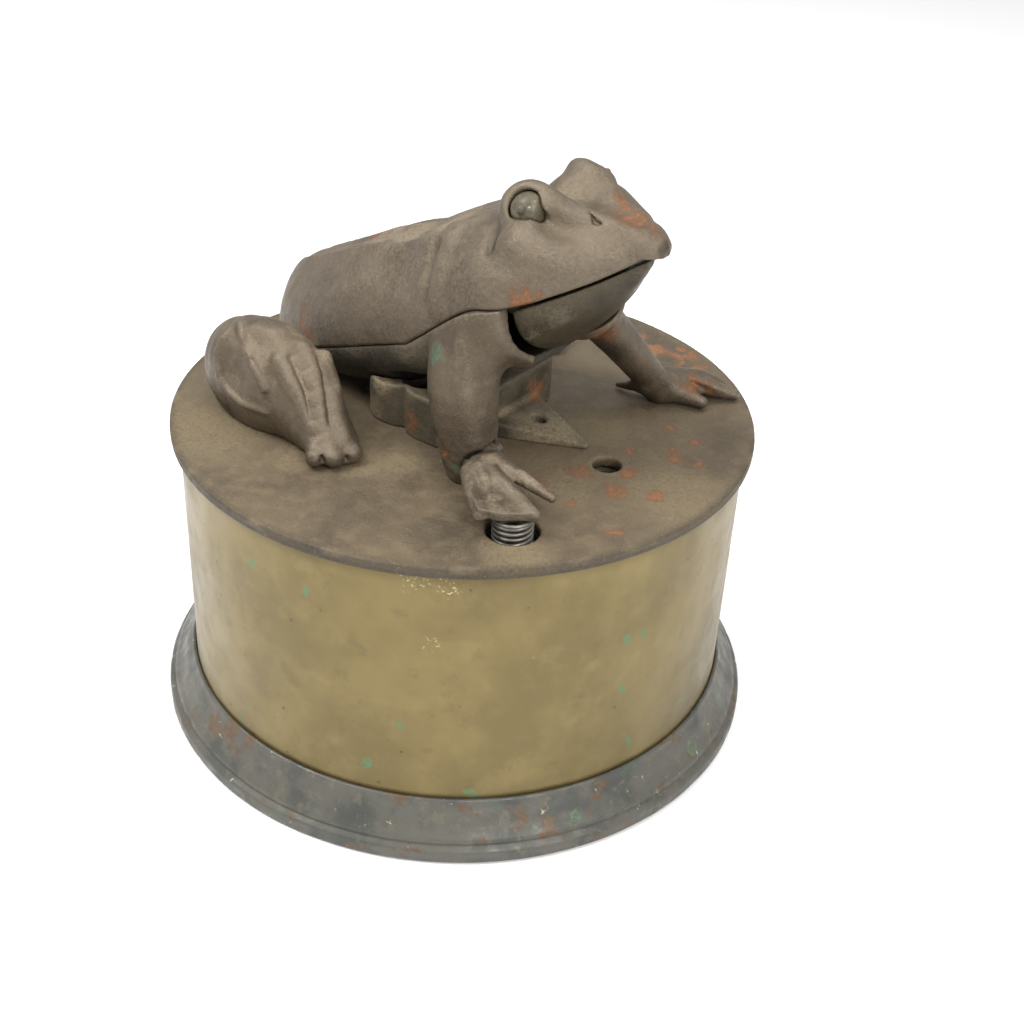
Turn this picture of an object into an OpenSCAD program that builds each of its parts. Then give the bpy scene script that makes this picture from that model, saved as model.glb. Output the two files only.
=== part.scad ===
// Cast-iron frog coin bank on a round drum.
// Millimetres. +X is the way the frog faces, +Y is its left, +Z is up.
// The origin is the centre of the drum's foot, on the table.

/* [Base] */
// Height of the lid's top face above the table
lid_top = 63.5; // [58:0.5:75]
// Outside radius of the drum wall
drum_r = 55.3; // [54.9:0.1:55.7]
// Thickness of the drum wall
drum_wall = 0.9; // [0.7:0.1:1.1]
// Largest radius of the foot ring
ring_r = 61.4; // [60.5:0.1:62.5]
// Height of the foot ring
ring_h = 11; // [10:0.5:14]
// Radius of the opening inside the foot ring
ring_bore_r = 47; // [44:0.5:48]

/* [Lid] */
// Radius of the lid plate
lid_r = 57; // [56.5:0.1:58]
// Thickness of the lid plate
lid_t = 2.2; // [2:0.1:3]
// Distance of the screw hole in front of the centre
screw_x = 34.1; // [33:0.1:36]
// Radius of the screw hole
screw_hole_r = 2.75; // [2.5:0.05:3.2]
// Radius of the spring hole
spring_hole_r = 4.8; // [4.7:0.1:5]

/* [Frog] */
// Wall thickness of the frog's castings
wall = 2.4; // [2:0.1:2.8]
// Radius of the eyeballs
eye_r = 3.5; // [3.2:0.1:3.6]

/* [Mechanism] */
// Radius of the push rod
rod_r = 1.3; // [1.1:0.1:1.4]
// Radius of the pivot pins
pin_r = 1.2; // [1:0.05:1.3]
// Radial clearance of the pivots
fit = 0.06; // [0.03:0.01:0.09]

/* [Hidden] */

iron = [0.37, 0.33, 0.29];
iron_dark = [0.27, 0.25, 0.23];
brass = [0.58, 0.51, 0.36];
ring_grey = [0.46, 0.46, 0.41];
steel = [0.52, 0.51, 0.5];
eye_colour = [0.52, 0.47, 0.36];

round_fn = 96;
hull_fn = 24;
gap = 0.4;

// ---- curves through hand-set stations: [x, value, value ...] ----

function slope(p, i, k) =
    let (a = max(i - 1, 0), b = min(i + 1, len(p) - 1))
    (p[b][k] - p[a][k]) / (p[b][0] - p[a][0]);

function hermite(p, i, k, x) =
    let (h = p[i + 1][0] - p[i][0], t = (x - p[i][0]) / h)
    (2 * t ^ 3 - 3 * t ^ 2 + 1) * p[i][k] + (t ^ 3 - 2 * t ^ 2 + t) * h * slope(p, i, k)
    + (3 * t ^ 2 - 2 * t ^ 3) * p[i + 1][k] + (t ^ 3 - t ^ 2) * h * slope(p, i + 1, k);

function curve(p, k, x, i = 0) =
    i >= len(p) - 2 || x < p[i + 1][0] ? hermite(p, i, k, x) : curve(p, k, x, i + 1);

// ---- skins: a solid through equal rings of points ----

function flipped(faces, flip) = flip ? [for (f = faces) [f[2], f[1], f[0]]] : faces;

// The side faces between m rings of n points each
function walls(m, n) = [for (j = [0:m - 2]) for (i = [0:n - 1]) let (a = j * n + i, b = j * n + (i + 1) % n)
    each [[b + n, b, a], [b + n, a, a + n]]];

function middle(ring) = [for (k = [0:2]) let (v = [for (p = ring) p[k]]) (min(v) + max(v)) / 2];

// A solid through rings, closed at each end by a fan; rings run anticlockwise about the way they advance
module skin(rings, flip = false) {
    n = len(rings[0]);
    m = len(rings);
    points = concat([for (r = rings) for (p = r) p], [middle(rings[0]), middle(rings[m - 1])]);
    caps = [for (i = [0:n - 1]) let (b = (i + 1) % n, c = (m - 1) * n)
        each [[m * n, i, b], [m * n + 1, c + b, c + i]]];
    polyhedron(points, flipped(concat(walls(m, n), caps), flip), convexity = 8);
}

// A bowl through crescent rings, closed at each end by a strip between its outer and inner arcs
module bowl(rings, flip = false) {
    n = len(rings[0]);
    m = len(rings);
    caps = [for (i = [0:n / 2 - 2]) let (b = i + 1, p = n - 1 - i, q = n - 2 - i, c = (m - 1) * n)
        each [[i, b, q], [i, q, p], [c + q, c + b, c + i], [c + p, c + q, c + i]]];
    polyhedron([for (r = rings) for (p = r) p], flipped(concat(walls(m, n), caps), flip), convexity = 8);
}

// One end of a unit superellipse arc, with its sign kept
function power(v, n) = sign(v) * abs(v) ^ (2 / n);

// Half a hollow body's section at x: out along the outer arc and back along the inner one
function shell_ring(x, w, base, top, t, n, m) =
    let (h = top - base, s = sign(h), wi = max(w - t, 0.08), hi = s * max(abs(h) - t, 0.08))
    concat(
        [for (i = [0:m]) let (a = 180 * i / m) [x, -w * power(cos(a), n), base + h * power(sin(a), n)]],
        [for (i = [m:-1:0]) let (a = 180 * i / m) [x, -wi * power(cos(a), n), base + hi * power(sin(a), n)]]
    );

// A limb: an elliptical skin along a line of stations [t, x, y, z, radius across, radius along]
function limb_ring(s, t, m, ref) =
    let (
        d = 0.01,
        q0 = [for (k = [1:3]) curve(s, k, t - d)],
        q1 = [for (k = [1:3]) curve(s, k, t + d)],
        dir = (q1 - q0) / norm(q1 - q0),
        across = cross(dir, ref) / norm(cross(dir, ref)),
        along = cross(across, dir)
    )
    [for (i = [0:m - 1]) let (a = -360 * i / m)
        (q0 + q1) / 2 + across * curve(s, 4, t) * cos(a) + along * curve(s, 5, t) * sin(a)];

module limb(stations, ref = [1, 0, 0], steps = 16, m = 18) {
    last = stations[len(stations) - 1][0];
    first = stations[0][0];
    skin([for (j = [0:steps]) limb_ring(stations, first + (last - first) * j / steps, m, ref)]);
}

// ---- the frog's outline ----

// [x, half width, top, belly] of the body, heights above the lid
body = [[-45.2, 3, 11, 4.5], [-43.6, 7.4, 16.6, 2.2], [-39.5, 11.2, 20.8, 1.2], [-34, 13.8, 23.8, 0.8],
    [-26, 16, 26.9, 0.8], [-17, 17.2, 30.8, 1.6], [-8, 17.6, 36.6, 4.6], [0, 18.2, 41.4, 8.6],
    [8, 19.6, 44.8, 12.4], [16, 20.4, 47.4, 15.8], [22, 20, 48.4, 17.6], [26, 17.9, 48.2, 19.4],
    [30, 14.8, 47.9, 22], [33, 11.6, 47.7, 24], [36.3, 7.6, 47.2, 26], [39, 4.4, 46.5, 28], [41, 2.4, 45.7, 29],
    [41.8, 1.1, 45.1, 29.4]];

// The parting line of the two castings, and the mouth line in front of it
function seam(x) = 19.7 + 0.393 * x;
function mouth(x) = 35.4 + 0.5 * (x - 26) + 0.2 * max(x - 39, 0) ^ 2;
function edge(x) = x < 14 ? seam(x) : x > 24 ? mouth(x) : seam(x) + (mouth(x) - seam(x)) * (1 - cos(18 * (x - 14))) / 2;

module up() {
    translate([0, 0, lid_top]) children();
}

module at_pair(x, y, h) {
    for (side = [-1, 1]) translate([x, side * y, h]) children();
}

// A round bar between two points
module bar(a, b, r, fn = 24) {
    d = b - a;
    translate(a) rotate([0, acos(d[2] / norm(d)), atan2(d[1], d[0])]) cylinder(r = r, h = norm(d), $fn = fn);
}

// The whole body as one solid, grown by a clearance, for cutting the limbs to fit it
module body_solid(grow = 0.15, steps = 40, m = 14) {
    first = body[0][0];
    last = body[len(body) - 1][0];
    skin([for (j = [0:steps]) let (
            x = first + (last - first) * j / steps, w = curve(body, 1, x) + grow, base = edge(x),
            top = curve(body, 2, x) + grow, low = min(curve(body, 3, x), base - 1) - grow)
        concat(
            [for (i = [0:m - 1]) let (a = 180 * i / m) [x, -w * power(cos(a), 2.2), base + (top - base) * power(sin(a), 2.2)]],
            [for (i = [m:-1:1]) let (a = -180 * (m - i) / m)
                [x, -w * power(cos(a + 180), 2.2), base + (low - base) * power(sin(-a), 2.2)]]
        )
    ], flip = true);
}

// ---- base ----

module foot_ring() {
    color(ring_grey) rotate_extrude($fn = round_fn) difference() {
        polygon([[ring_bore_r, 0], [ring_r - 0.5, 0], [ring_r, 0.6], [ring_r, 2.7], [ring_r - 0.4, 3.2],
            [ring_r - 1.2, 3.5], [ring_r - 1.3, 3.9], [ring_r - 2.2, 5.2], [ring_r - 3.6, 7.6],
            [drum_r + 1.2, ring_h - 1], [drum_r + 0.8, ring_h], [ring_bore_r, ring_h]]);
        translate([ring_bore_r - 1, 3.4]) square([drum_r + 1.1 - ring_bore_r, ring_h]);
    }
}

module drum() {
    top = lid_top - lid_t - 0.1;
    color(brass) translate([0, 0, 3.4]) difference() {
        cylinder(r = drum_r, h = top - 3.4, $fn = round_fn);
        translate([0, 0, -1]) cylinder(r = drum_r - drum_wall, h = top, $fn = round_fn);
    }
}

module ring_of(n, r) {
    for (i = [0:n - 1]) rotate([0, 0, 45 + i * 360 / n]) translate([r, 0, 0]) children();
}

module bottom_plate() {
    color(iron_dark) translate([0, 0, 3.4]) difference() {
        cylinder(r = drum_r - drum_wall - 0.2, h = 1.2, $fn = round_fn);
        ring_of(4, 50.5) translate([0, 0, -1]) cylinder(r = 1.5, h = 4, $fn = 24);
        translate([screw_x, 0, -1]) cylinder(r = 3.66, h = 4, $fn = 32);
    }
}

module bottom_screws() {
    color(steel) ring_of(4, 50.5) {
        translate([0, 0, 3.4]) cylinder(r = 1.45, h = 1.5, $fn = 24);
        translate([0, 0, 4.6]) cylinder(r = 2.6, h = 1.4, $fn = 24);
    }
}

post_bore_r = 2.9;

module tie_post() {
    color(iron_dark) translate([screw_x, 0, 0]) difference() {
        union() {
            translate([0, 0, 4.6]) cylinder(r = 4.6, h = lid_top - lid_t - 5.2, $fn = 32);
            translate([0, 0, 0.8]) cylinder(r = 3.6, h = 4, $fn = 32);
        }
        cylinder(r = post_bore_r, h = lid_top, $fn = 32);
    }
}

module post_nut() {
    color(steel) translate([screw_x, 0, 1.2]) difference() {
        cylinder(r = 6.2, h = 2.1, $fn = 6);
        translate([0, 0, -1]) cylinder(r = 3.65, h = 5, $fn = 32);
    }
}

// ---- lid ----

coin_x = -1.5;
stud_r = 1.5;
studs = [[-25, -28], [-25, 28], [28.5, 31.5]];
screw_at = [-20, 0];
spring_at = [34.6, -29.2];

module coin_hole(grow = 0) {
    r = 4 + grow;
    for (side = [-1, 1]) translate([coin_x, side * 10.5, 0]) cylinder(r = r, h = 60, $fn = 32);
    translate([coin_x - r, -10.5, 0]) cube([2 * r, 21, 60]);
}

module lid_plate() {
    color(iron) up() difference() {
        union() {
            translate([0, 0, -lid_t]) rotate_extrude($fn = round_fn)
                polygon([[0, 0], [lid_r - 0.4, 0], [lid_r, 0.4], [lid_r, lid_t - 0.7], [lid_r - 0.6, lid_t], [0, lid_t]]);
            translate([0, 0, -lid_t - 4]) difference() {
                cylinder(r = drum_r - drum_wall - 0.6, h = 4.5, $fn = round_fn);
                translate([0, 0, -1]) cylinder(r = drum_r - drum_wall - 3, h = 5, $fn = round_fn);
            }
        }
        translate([screw_x, 0, -10]) cylinder(r = screw_hole_r, h = 20, $fn = 48);
        translate([spring_at[0], spring_at[1], -10]) cylinder(r = spring_hole_r, h = 20, $fn = 48);
        translate([spring_at[0], spring_at[1], -10 - lid_t]) cylinder(r = 9.2, h = 10, $fn = 48);
        translate([screw_at[0], screw_at[1], -10]) cylinder(r = 2.1, h = 20, $fn = 24);
        for (s = studs) translate([s[0], s[1], -10]) cylinder(r = stud_r + 0.06, h = 20, $fn = 24);
        for (a = [60, 180, 300]) rivet_place(a) translate([0, 0, -10]) cylinder(r = 0.8, h = 9.2, $fn = 24);
        translate([0, 0, -30]) coin_hole();
    }
}

module coin_chute() {
    color(iron) up() difference() {
        union() {
            hull() {
                for (y = [-6.4, 8]) translate([10, y, 2]) cylinder(r = 1, h = 1.4, $fn = hull_fn);
                translate([27.2, 2.2, 0.02]) cylinder(r = 1, h = 1, $fn = hull_fn);
            }
            for (lobe = [[-7, 16.2, 7], [3.6, 17, 7.6]]) translate([lobe[0], 0, 0.02]) {
                translate([-lobe[2], -lobe[1] + 5, 0]) cube([2 * lobe[2], 2 * lobe[1] - 10, 9.4]);
                for (side = [-1, 1]) translate([0, side * (lobe[1] - 5.5), 0])
                    intersection() {
                        cylinder(r = lobe[2], h = 9.4, $fn = 40);
                        translate([-lobe[2], -5.5, 0]) cube([2 * lobe[2], 11, 9.4]);
                    }
            }
        }
        translate([0, 0, -1]) coin_hole(0.6);
        body_solid(0.3);
        translate([14.7, 5.4, -1]) cylinder(r = 1.2, h = 6, $fn = 24);
    }
}

module frog_back() {
    color(iron) up() difference() {
        union() {
            bowl([for (j = [0:44]) let (x = body[0][0] + (body[len(body) - 1][0] - body[0][0]) * j / 44)
                shell_ring(x, curve(body, 1, x), edge(x), curve(body, 2, x), wall, 2.2, 20)], flip = true);
            intersection() {
                at_pair(19.4, 7.3, 46.6) sphere(r = 5.8, $fn = 32);
                translate([0, -20, 43.2]) cube([40, 40, 20]);
            }
            for (side = [-1, 1]) translate([19, side * 18.2, 34]) rotate([90, 0, 0])
                cylinder(r = 3, h = 2.4, center = true, $fn = 32);
            translate([screw_at[0], 0, 20]) cylinder(r = 4, h = 9, $fn = 32);
        }
        at_pair(eye_pivot[0], eye_y, eye_pivot[2]) sphere(r = eye_r + gap, $fn = 32);
        for (side = [-1, 1]) {
            translate([eye_pivot[0], side * eye_y, eye_pivot[2]]) rotate([side * -55, 0, 0])
                cylinder(r = eye_r - 0.3, h = 8, $fn = 32);
            translate(eye_pivot) rotate([side * -90, 0, 0]) {
                translate([0, 0, 4.6]) cylinder(r = 2.4, h = 2, $fn = 32);
                translate([0, 0, 3.4]) cylinder(r = 0.82, h = 2, $fn = 24);
            }
            translate([eye_pivot[0] - 3.4, side * 5.5 - 0.9, 37]) cube([6.8, 1.8, 10]);
            translate([19, side * 17.4, 34]) rotate([90, 0, 0]) cylinder(r = pin_r + 0.02, h = 3.2, center = true, $fn = 24);
        }
        translate([eye_pivot[0] - 3.4, -6.8, 37]) cube([7.2, 13.6, 7.1]);
        translate([screw_at[0], 0, 10]) cylinder(r = 1.95, h = 15, $fn = 24);
    }
}

module frog_belly() {
    first = -42;
    last = 22.4;
    color(iron_dark) up() difference() {
        union() {
            bowl([for (j = [0:40]) let (x = first + (last - first) * j / 40)
                shell_ring(x, curve(body, 1, x) - 0.2, edge(x) - 0.1,
                    curve(body, 3, x), wall - 0.4, 2.2, 18)]);
            translate([screw_at[0], 0, 3]) cylinder(r = 4, h = 16.5, $fn = 32);
        }
        jaw_sweep();
        translate([screw_at[0], 0, -1]) cylinder(r = 2.1, h = 30, $fn = 24);
        translate([0, 0, -10]) coin_hole(0.6);
        rod_way();
    }
}

// ---- legs ----

module above_lid() {
    difference() {
        children();
        translate([-80, -80, -30]) cube([160, 160, 30]);
    }
}

module stud(i) {
    translate([studs[i][0], studs[i][1], -lid_t - 3.2]) cylinder(r = stud_r, h = lid_t + 5.2, $fn = 24);
}

foot_pivot = [20.5, -20, 5];
rod_foot = [15, -19.6, 7.2];
rod_head = [15.6, -15, 32.3];
jaw_pivot = [19, 0, 34];
eye_pivot = [20, 0, 48.4];
eye_y = 9.6;

module rod_way() {
    d = (rod_head - rod_foot) / norm(rod_head - rod_foot);
    bar(rod_foot - 2 * d, rod_head + 3 * d, rod_r + 0.5);
}

module right_front_leg() {
    color(iron) up() {
        difference() {
            above_lid() limb([[0, 17.4, -20.4, -0.6, 3.4, 3.0], [1, 17.2, -20.2, 4, 4.8, 4.9], [2, 16.4, -20, 10, 5.6, 5.8],
                [3, 15.4, -20, 17, 6.1, 6.5], [4, 14.6, -18.6, 23, 5.2, 6.6], [5, 14.4, -15.8, 28, 3.8, 5.4]]);
            body_solid();
            rod_way();
            translate([10, -22, -1]) cube([20, 4, 9.6]);
            translate([22.4, -30, -1]) cube([10, 16, 10]);
            translate([23.5, -24, 4.4]) sphere(r = 4.2, $fn = 32);
            translate([foot_pivot[0], -30, foot_pivot[2]]) rotate([-90, 0, 0]) cylinder(r = pin_r + 0.02, h = 20, $fn = 24);
        }
    }
}

module left_front_leg() {
    color(iron) up() {
        difference() {
            above_lid() {
                limb([[0, 19, 12, 25, 4.8, 5.6], [1, 23, 15.5, 20.2, 4.6, 5.4], [2, 25.6, 21, 13.6, 3.8, 4.6],
                    [3, 27.4, 27, 6.6, 3.6, 4.2], [4, 28.4, 30.6, 1.2, 4, 4.2]]);
                hull() {
                    translate([28.4, 31.6, 2]) sphere(r = 3.6, $fn = hull_fn);
                    translate([37.6, 39.2, 1]) sphere(r = 1.6, $fn = hull_fn);
                    translate([31.2, 43, 1]) sphere(r = 1.5, $fn = hull_fn);
                }
                hull() {
                    translate([28.6, 30.4, 2]) sphere(r = 2.8, $fn = hull_fn);
                    translate([35.6, 32, 1]) sphere(r = 1.7, $fn = hull_fn);
                }
            }
            body_solid();
        }
        stud(2);
    }
}

module hind_leg(side) {
    color(iron) up() {
        difference() {
            above_lid() scale([1, side, 1]) {
                limb([[0, -37.6, -27.4, 6, 1.2, 2.5], [1, -35.6, -28, 7, 5, 7], [2, -31, -28.6, 7.8, 7.2, 10.6],
                    [3, -24, -28.6, 8, 8.2, 12], [4, -17, -28.6, 7, 7.2, 9.6], [5, -11, -30, 4.5, 5.8, 6.6],
                    [6, -5, -31.8, 2.8, 4.8, 3.2], [7, -2.2, -32.2, 2, 3.4, 2]], ref = [0, 0, 1]);
                for (toe = [[-5, -37.2], [-0.8, -34], [-1.4, -29.4]]) hull() {
                    translate([-9, -31, 2.4]) sphere(r = 2.6, $fn = hull_fn);
                    translate([toe[0], toe[1], 1.2]) sphere(r = 1.7, $fn = hull_fn);
                }
            }
            body_solid();
        }
        stud(side > 0 ? 0 : 1);
    }
}

module right_hind_leg() { hind_leg(1); }
module left_hind_leg() { hind_leg(-1); }

module leg_nuts() {
    color(steel) up() for (s = studs) translate([s[0], s[1], -lid_t - 2.4]) difference() {
        cylinder(r = 3, h = 2.4, $fn = 6);
        translate([0, 0, -1]) cylinder(r = stud_r + 0.05, h = 5, $fn = 24);
    }
}

module body_screw() {
    color(steel) up() translate([screw_at[0], screw_at[1], 0]) {
        translate([0, 0, -lid_t - 3]) cylinder(r = 3.4, h = 2.2, $fn = 32);
        translate([0, 0, -lid_t - 1]) cylinder(r = 1.9, h = 27, $fn = 24);
    }
}

module body_washer() {
    color(steel) up() translate([screw_at[0], screw_at[1], -lid_t - 0.8]) difference() {
        cylinder(r = 4.4, h = 0.8, $fn = 32);
        translate([0, 0, -1]) cylinder(r = 1.98, h = 4, $fn = 24);
    }
}

// ---- foot spring and its cup ----

module rivet_place(a) {
    translate([spring_at[0], spring_at[1], 0]) rotate([0, 0, a]) translate([7.2, 0, 0]) children();
}

module spring_cup() {
    color(iron_dark) up() translate([spring_at[0], spring_at[1], -lid_t]) difference() {
        union() {
            translate([0, 0, -7]) cylinder(r = 5.6, h = 7, $fn = 40);
            translate([0, 0, -1]) cylinder(r = 8.6, h = 1, $fn = 40);
        }
        translate([0, 0, -6]) cylinder(r = spring_hole_r, h = 8, $fn = 40);
        for (a = [60, 180, 300]) rotate([0, 0, a]) translate([7.2, 0, -3]) cylinder(r = 0.8, h = 6, $fn = 24);
    }
}

module cup_rivets() {
    color(steel) up() for (a = [60, 180, 300]) rivet_place(a) {
        translate([0, 0, -lid_t - 1]) cylinder(r = 0.75, h = lid_t + 0.2, $fn = 24);
        translate([0, 0, -lid_t - 1.6]) cylinder(r = 1.25, h = 0.6, $fn = 24);
    }
}

module foot_spring() {
    wire = 0.45;
    coil = 3.3;
    low = -lid_t - 6 + wire;
    high = 2.6;
    turns = 6.5;
    color(steel) up() translate([spring_at[0], spring_at[1], 0])
        skin([for (j = [0:turns * 14]) let (a = 360 * j / 14, z = low + (high - low) * j / (turns * 14))
            [for (i = [0:7]) let (b = -360 * i / 8)
                [(coil + wire * cos(b)) * cos(a), (coil + wire * cos(b)) * sin(a), z + wire * sin(b)]]]);
}

// ---- pins ----

module jaw_pins() {
    color(steel) up() for (side = [-1, 1]) translate([jaw_pivot[0], side * 16.1, jaw_pivot[2]])
        rotate([90, 0, 0]) cylinder(r = pin_r, h = 5.4, center = true, $fn = 24);
}

module foot_pin() {
    color(steel) up() translate([foot_pivot[0], -24.4, foot_pivot[2]]) rotate([-90, 0, 0]) cylinder(r = pin_r, h = 8.6, $fn = 24);
}

module eye_pins() {
    color(steel) up() for (side = [-1, 1]) translate([eye_pivot[0], side * 4.7, eye_pivot[2]])
        rotate([90, 0, 0]) cylinder(r = 0.8, h = 2.5, center = true, $fn = 24);
}

// ---- foot lever ----

module right_front_foot() {
    color(iron) up() difference() {
        union() {
            hull() {
                translate([26, -21, 5.6]) sphere(r = 3.2, $fn = hull_fn);
                translate([23.5, -24, 4.6]) sphere(r = 3.6, $fn = hull_fn);
                translate([29.8, -30.4, 4.2]) sphere(r = 2, $fn = hull_fn);
                translate([36.4, -27.6, 4.9]) sphere(r = 1.7, $fn = hull_fn);
            }
            hull() {
                translate([24.4, -19.4, 6.2]) sphere(r = 2, $fn = hull_fn);
                translate([38.6, -23.8, 5.2]) sphere(r = 1.5, $fn = hull_fn);
            }
            translate([22.6, -21.6, 3.4]) cube([4, 3.2, 3.2]);
        }
        translate([spring_at[0], spring_at[1], -2]) cylinder(r = 4.4, h = 5.3, $fn = 32);
        translate([10, -21.7, -1]) cube([12.6, 3.4, 12]);
        translate([foot_pivot[0], -21.7, foot_pivot[2]]) rotate([-90, 0, 0]) cylinder(r = 2.65, h = 3.4, $fn = 32);
        translate([foot_pivot[0], -30, foot_pivot[2]]) rotate([-90, 0, 0]) cylinder(r = pin_r + fit, h = 20, $fn = 24);
    }
}

module heel_lever() {
    color(iron_dark) up() difference() {
        union() {
            translate([foot_pivot[0], -21.6, foot_pivot[2]]) rotate([-90, 0, 0]) cylinder(r = 2.6, h = 3.2, $fn = 32);
            translate([13.6, -21.6, 3.8]) cube([7, 3.2, 2.4]);
            translate([20.5, -21.6, 3.6]) cube([2.1, 3.2, 2.8]);
        }
        translate([foot_pivot[0], -30, foot_pivot[2]]) rotate([-90, 0, 0]) cylinder(r = pin_r + fit, h = 20, $fn = 24);
    }
}

module push_rod() {
    color(steel) up() {
        d = (rod_head - rod_foot) / norm(rod_head - rod_foot);
        bar(rod_foot, rod_head, rod_r);
    }
}

// ---- jaw ----

// Clears the jaw's swing out of the fixed castings
module jaw_sweep() {
    side = [[14.3, 0], [13.8, 6], [12.6, 10], [11, 13], [9.6, 15], [7.6, 16.8], [5.4, 17.6], [0, 17.6]];
    translate(jaw_pivot) rotate([90, 0, 0]) rotate_extrude($fn = 64)
        polygon(concat([for (p = side) [p[0], -p[1]]], [for (i = [len(side) - 1:-1:1]) side[i]]));
}

// [x, half width, bottom] of the lower jaw
jaw = [[23.6, 17.2, 21.2], [26, 16.8, 23.2], [29.3, 14.4, 26.6], [32, 11.4, 29.8], [34.6, 7.4, 33.4], [36.4, 4, 36.4], [37.6, 1.6, 39.2]];

// The straight part of an arm, let into a pocket in the jaw
module jaw_arm(side, grow = 0) {
    t = 1.9 + 2 * grow;
    hull() {
        translate([20, side * 14.2 - t / 2, 32 - grow]) cube([1, t, 2.6 + 2 * grow]);
        translate([26, side * 14.2 - t / 2, 31 - grow]) cube([1 + grow, t, 2.6 + 2 * grow]);
    }
}

module lower_jaw() {
    color(iron_dark) up() difference() {
        bowl([for (j = [0:22]) let (x = jaw[0][0] + (jaw[len(jaw) - 1][0] - jaw[0][0]) * j / 22)
            shell_ring(x, curve(jaw, 1, x), mouth(x) - 0.6, min(curve(jaw, 2, x), mouth(x) - 1.2), 2, 2.1, 18)]);
        for (side = [-1, 1]) jaw_arm(side, 0.02);
    }
}

module jaw_arms() {
    color(iron_dark) up() difference() {
        union() {
            for (side = [-1, 1]) {
                translate([jaw_pivot[0], side * 14.6, jaw_pivot[2]]) rotate([90, 0, 0])
                    cylinder(r = 2, h = 2, center = true, $fn = 32);
                jaw_arm(side);
                bar([18.4, side * 14.2, 35.4], [17.7, side * 8.2, 41.2], 0.9, 16);
            }
            bar([17.7, -8.4, 41.2], [17.7, 8.4, 41.2], 0.9, 16);
            translate([14.2, -15.6, 33.1]) cube([3.4, 2, 1.8]);
        }
        translate([jaw_pivot[0], 0, jaw_pivot[2]]) rotate([90, 0, 0]) cylinder(r = pin_r + fit, h = 60, center = true, $fn = 24);
    }
}

// ---- eyes ----

module eyeball(side) {
    color(eye_colour) up() intersection() {
        translate([eye_pivot[0], side * eye_y, eye_pivot[2]]) sphere(r = eye_r, $fn = 32);
        translate([0, side > 0 ? 7.1 : -27.1, 30]) cube([40, 20, 40]);
    }
}

module right_eyeball() { eyeball(-1); }
module left_eyeball() { eyeball(1); }

module eye_rocker() {
    color(iron_dark) up() difference() {
        union() {
            for (side = [-1, 1]) {
                translate(eye_pivot) rotate([side * -90, 0, 0]) {
                    translate([0, 0, 5]) cylinder(r = 1.9, h = 1, $fn = 32);
                    translate([0, 0, 6]) cylinder(r = 1.3, h = 1.1, $fn = 24);
                }
                translate([eye_pivot[0] - 1, side * 5.5 - 0.5, 42]) cube([2, 1, 5]);
            }
            bar([eye_pivot[0], -6, 42.2], [eye_pivot[0], 6, 42.2], 1.1, 20);
        }
        translate(eye_pivot) rotate([90, 0, 0]) cylinder(r = 0.8 + fit, h = 12.6, center = true, $fn = 24);
    }
}

foot_ring();
drum();
bottom_plate();
bottom_screws();
tie_post();
post_nut();
lid_plate();
coin_chute();
frog_back();
frog_belly();
right_front_leg();
left_front_leg();
right_hind_leg();
left_hind_leg();
leg_nuts();
body_screw();
body_washer();
spring_cup();
cup_rivets();
jaw_pins();
foot_pin();
eye_pins();
foot_spring();
right_front_foot();
heel_lever();
push_rod();
lower_jaw();
jaw_arms();
eye_rocker();
right_eyeball();
left_eyeball();
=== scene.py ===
import math

import bpy
import numpy as np
import openvdb as vdb
from mathutils import Matrix, Vector


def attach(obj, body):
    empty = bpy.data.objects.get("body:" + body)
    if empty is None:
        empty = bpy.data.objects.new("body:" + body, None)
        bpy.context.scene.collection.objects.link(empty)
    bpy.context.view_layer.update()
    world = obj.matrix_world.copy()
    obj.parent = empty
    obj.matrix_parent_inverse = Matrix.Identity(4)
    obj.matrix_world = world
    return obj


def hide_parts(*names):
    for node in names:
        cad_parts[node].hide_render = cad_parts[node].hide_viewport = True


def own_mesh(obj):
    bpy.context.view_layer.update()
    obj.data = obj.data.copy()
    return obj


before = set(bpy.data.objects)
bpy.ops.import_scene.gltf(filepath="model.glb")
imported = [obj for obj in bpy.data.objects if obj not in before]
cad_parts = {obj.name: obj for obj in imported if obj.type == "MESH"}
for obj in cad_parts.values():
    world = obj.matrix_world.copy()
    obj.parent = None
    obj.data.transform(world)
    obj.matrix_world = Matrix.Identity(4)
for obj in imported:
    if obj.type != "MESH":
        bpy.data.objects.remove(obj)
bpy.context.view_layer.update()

# Millimetres while sculpting: X forward, Y left, Z up from the lid's top face.
LID = 63.5
MM = 0.001
FINE = 1.0
SCREW_X = 34.1
SPRING_AT = (34.6, -29.2)
JAW_PIVOT = (19, 34)


# ---- curves and distance fields ----


def curve(table, k, x):
    """Column k of a table at x, along a smooth curve through its rows."""
    s = np.array(table, float)
    t, v = s[:, 0], s[:, k]
    m = np.empty_like(v)
    m[1:-1] = (v[2:] - v[:-2]) / (t[2:] - t[:-2])
    m[0] = (v[1] - v[0]) / (t[1] - t[0])
    m[-1] = (v[-1] - v[-2]) / (t[-1] - t[-2])
    x = np.clip(x, t[0], t[-1])
    i = np.clip(np.searchsorted(t, x, "right") - 1, 0, len(t) - 2)
    h = t[i + 1] - t[i]
    u = (x - t[i]) / h
    return (
        (2 * u**3 - 3 * u**2 + 1) * v[i]
        + (u**3 - 2 * u**2 + u) * h * m[i]
        + (3 * u**2 - 2 * u**3) * v[i + 1]
        + (u**3 - u**2) * h * m[i + 1]
    ).astype(np.float32)


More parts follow.
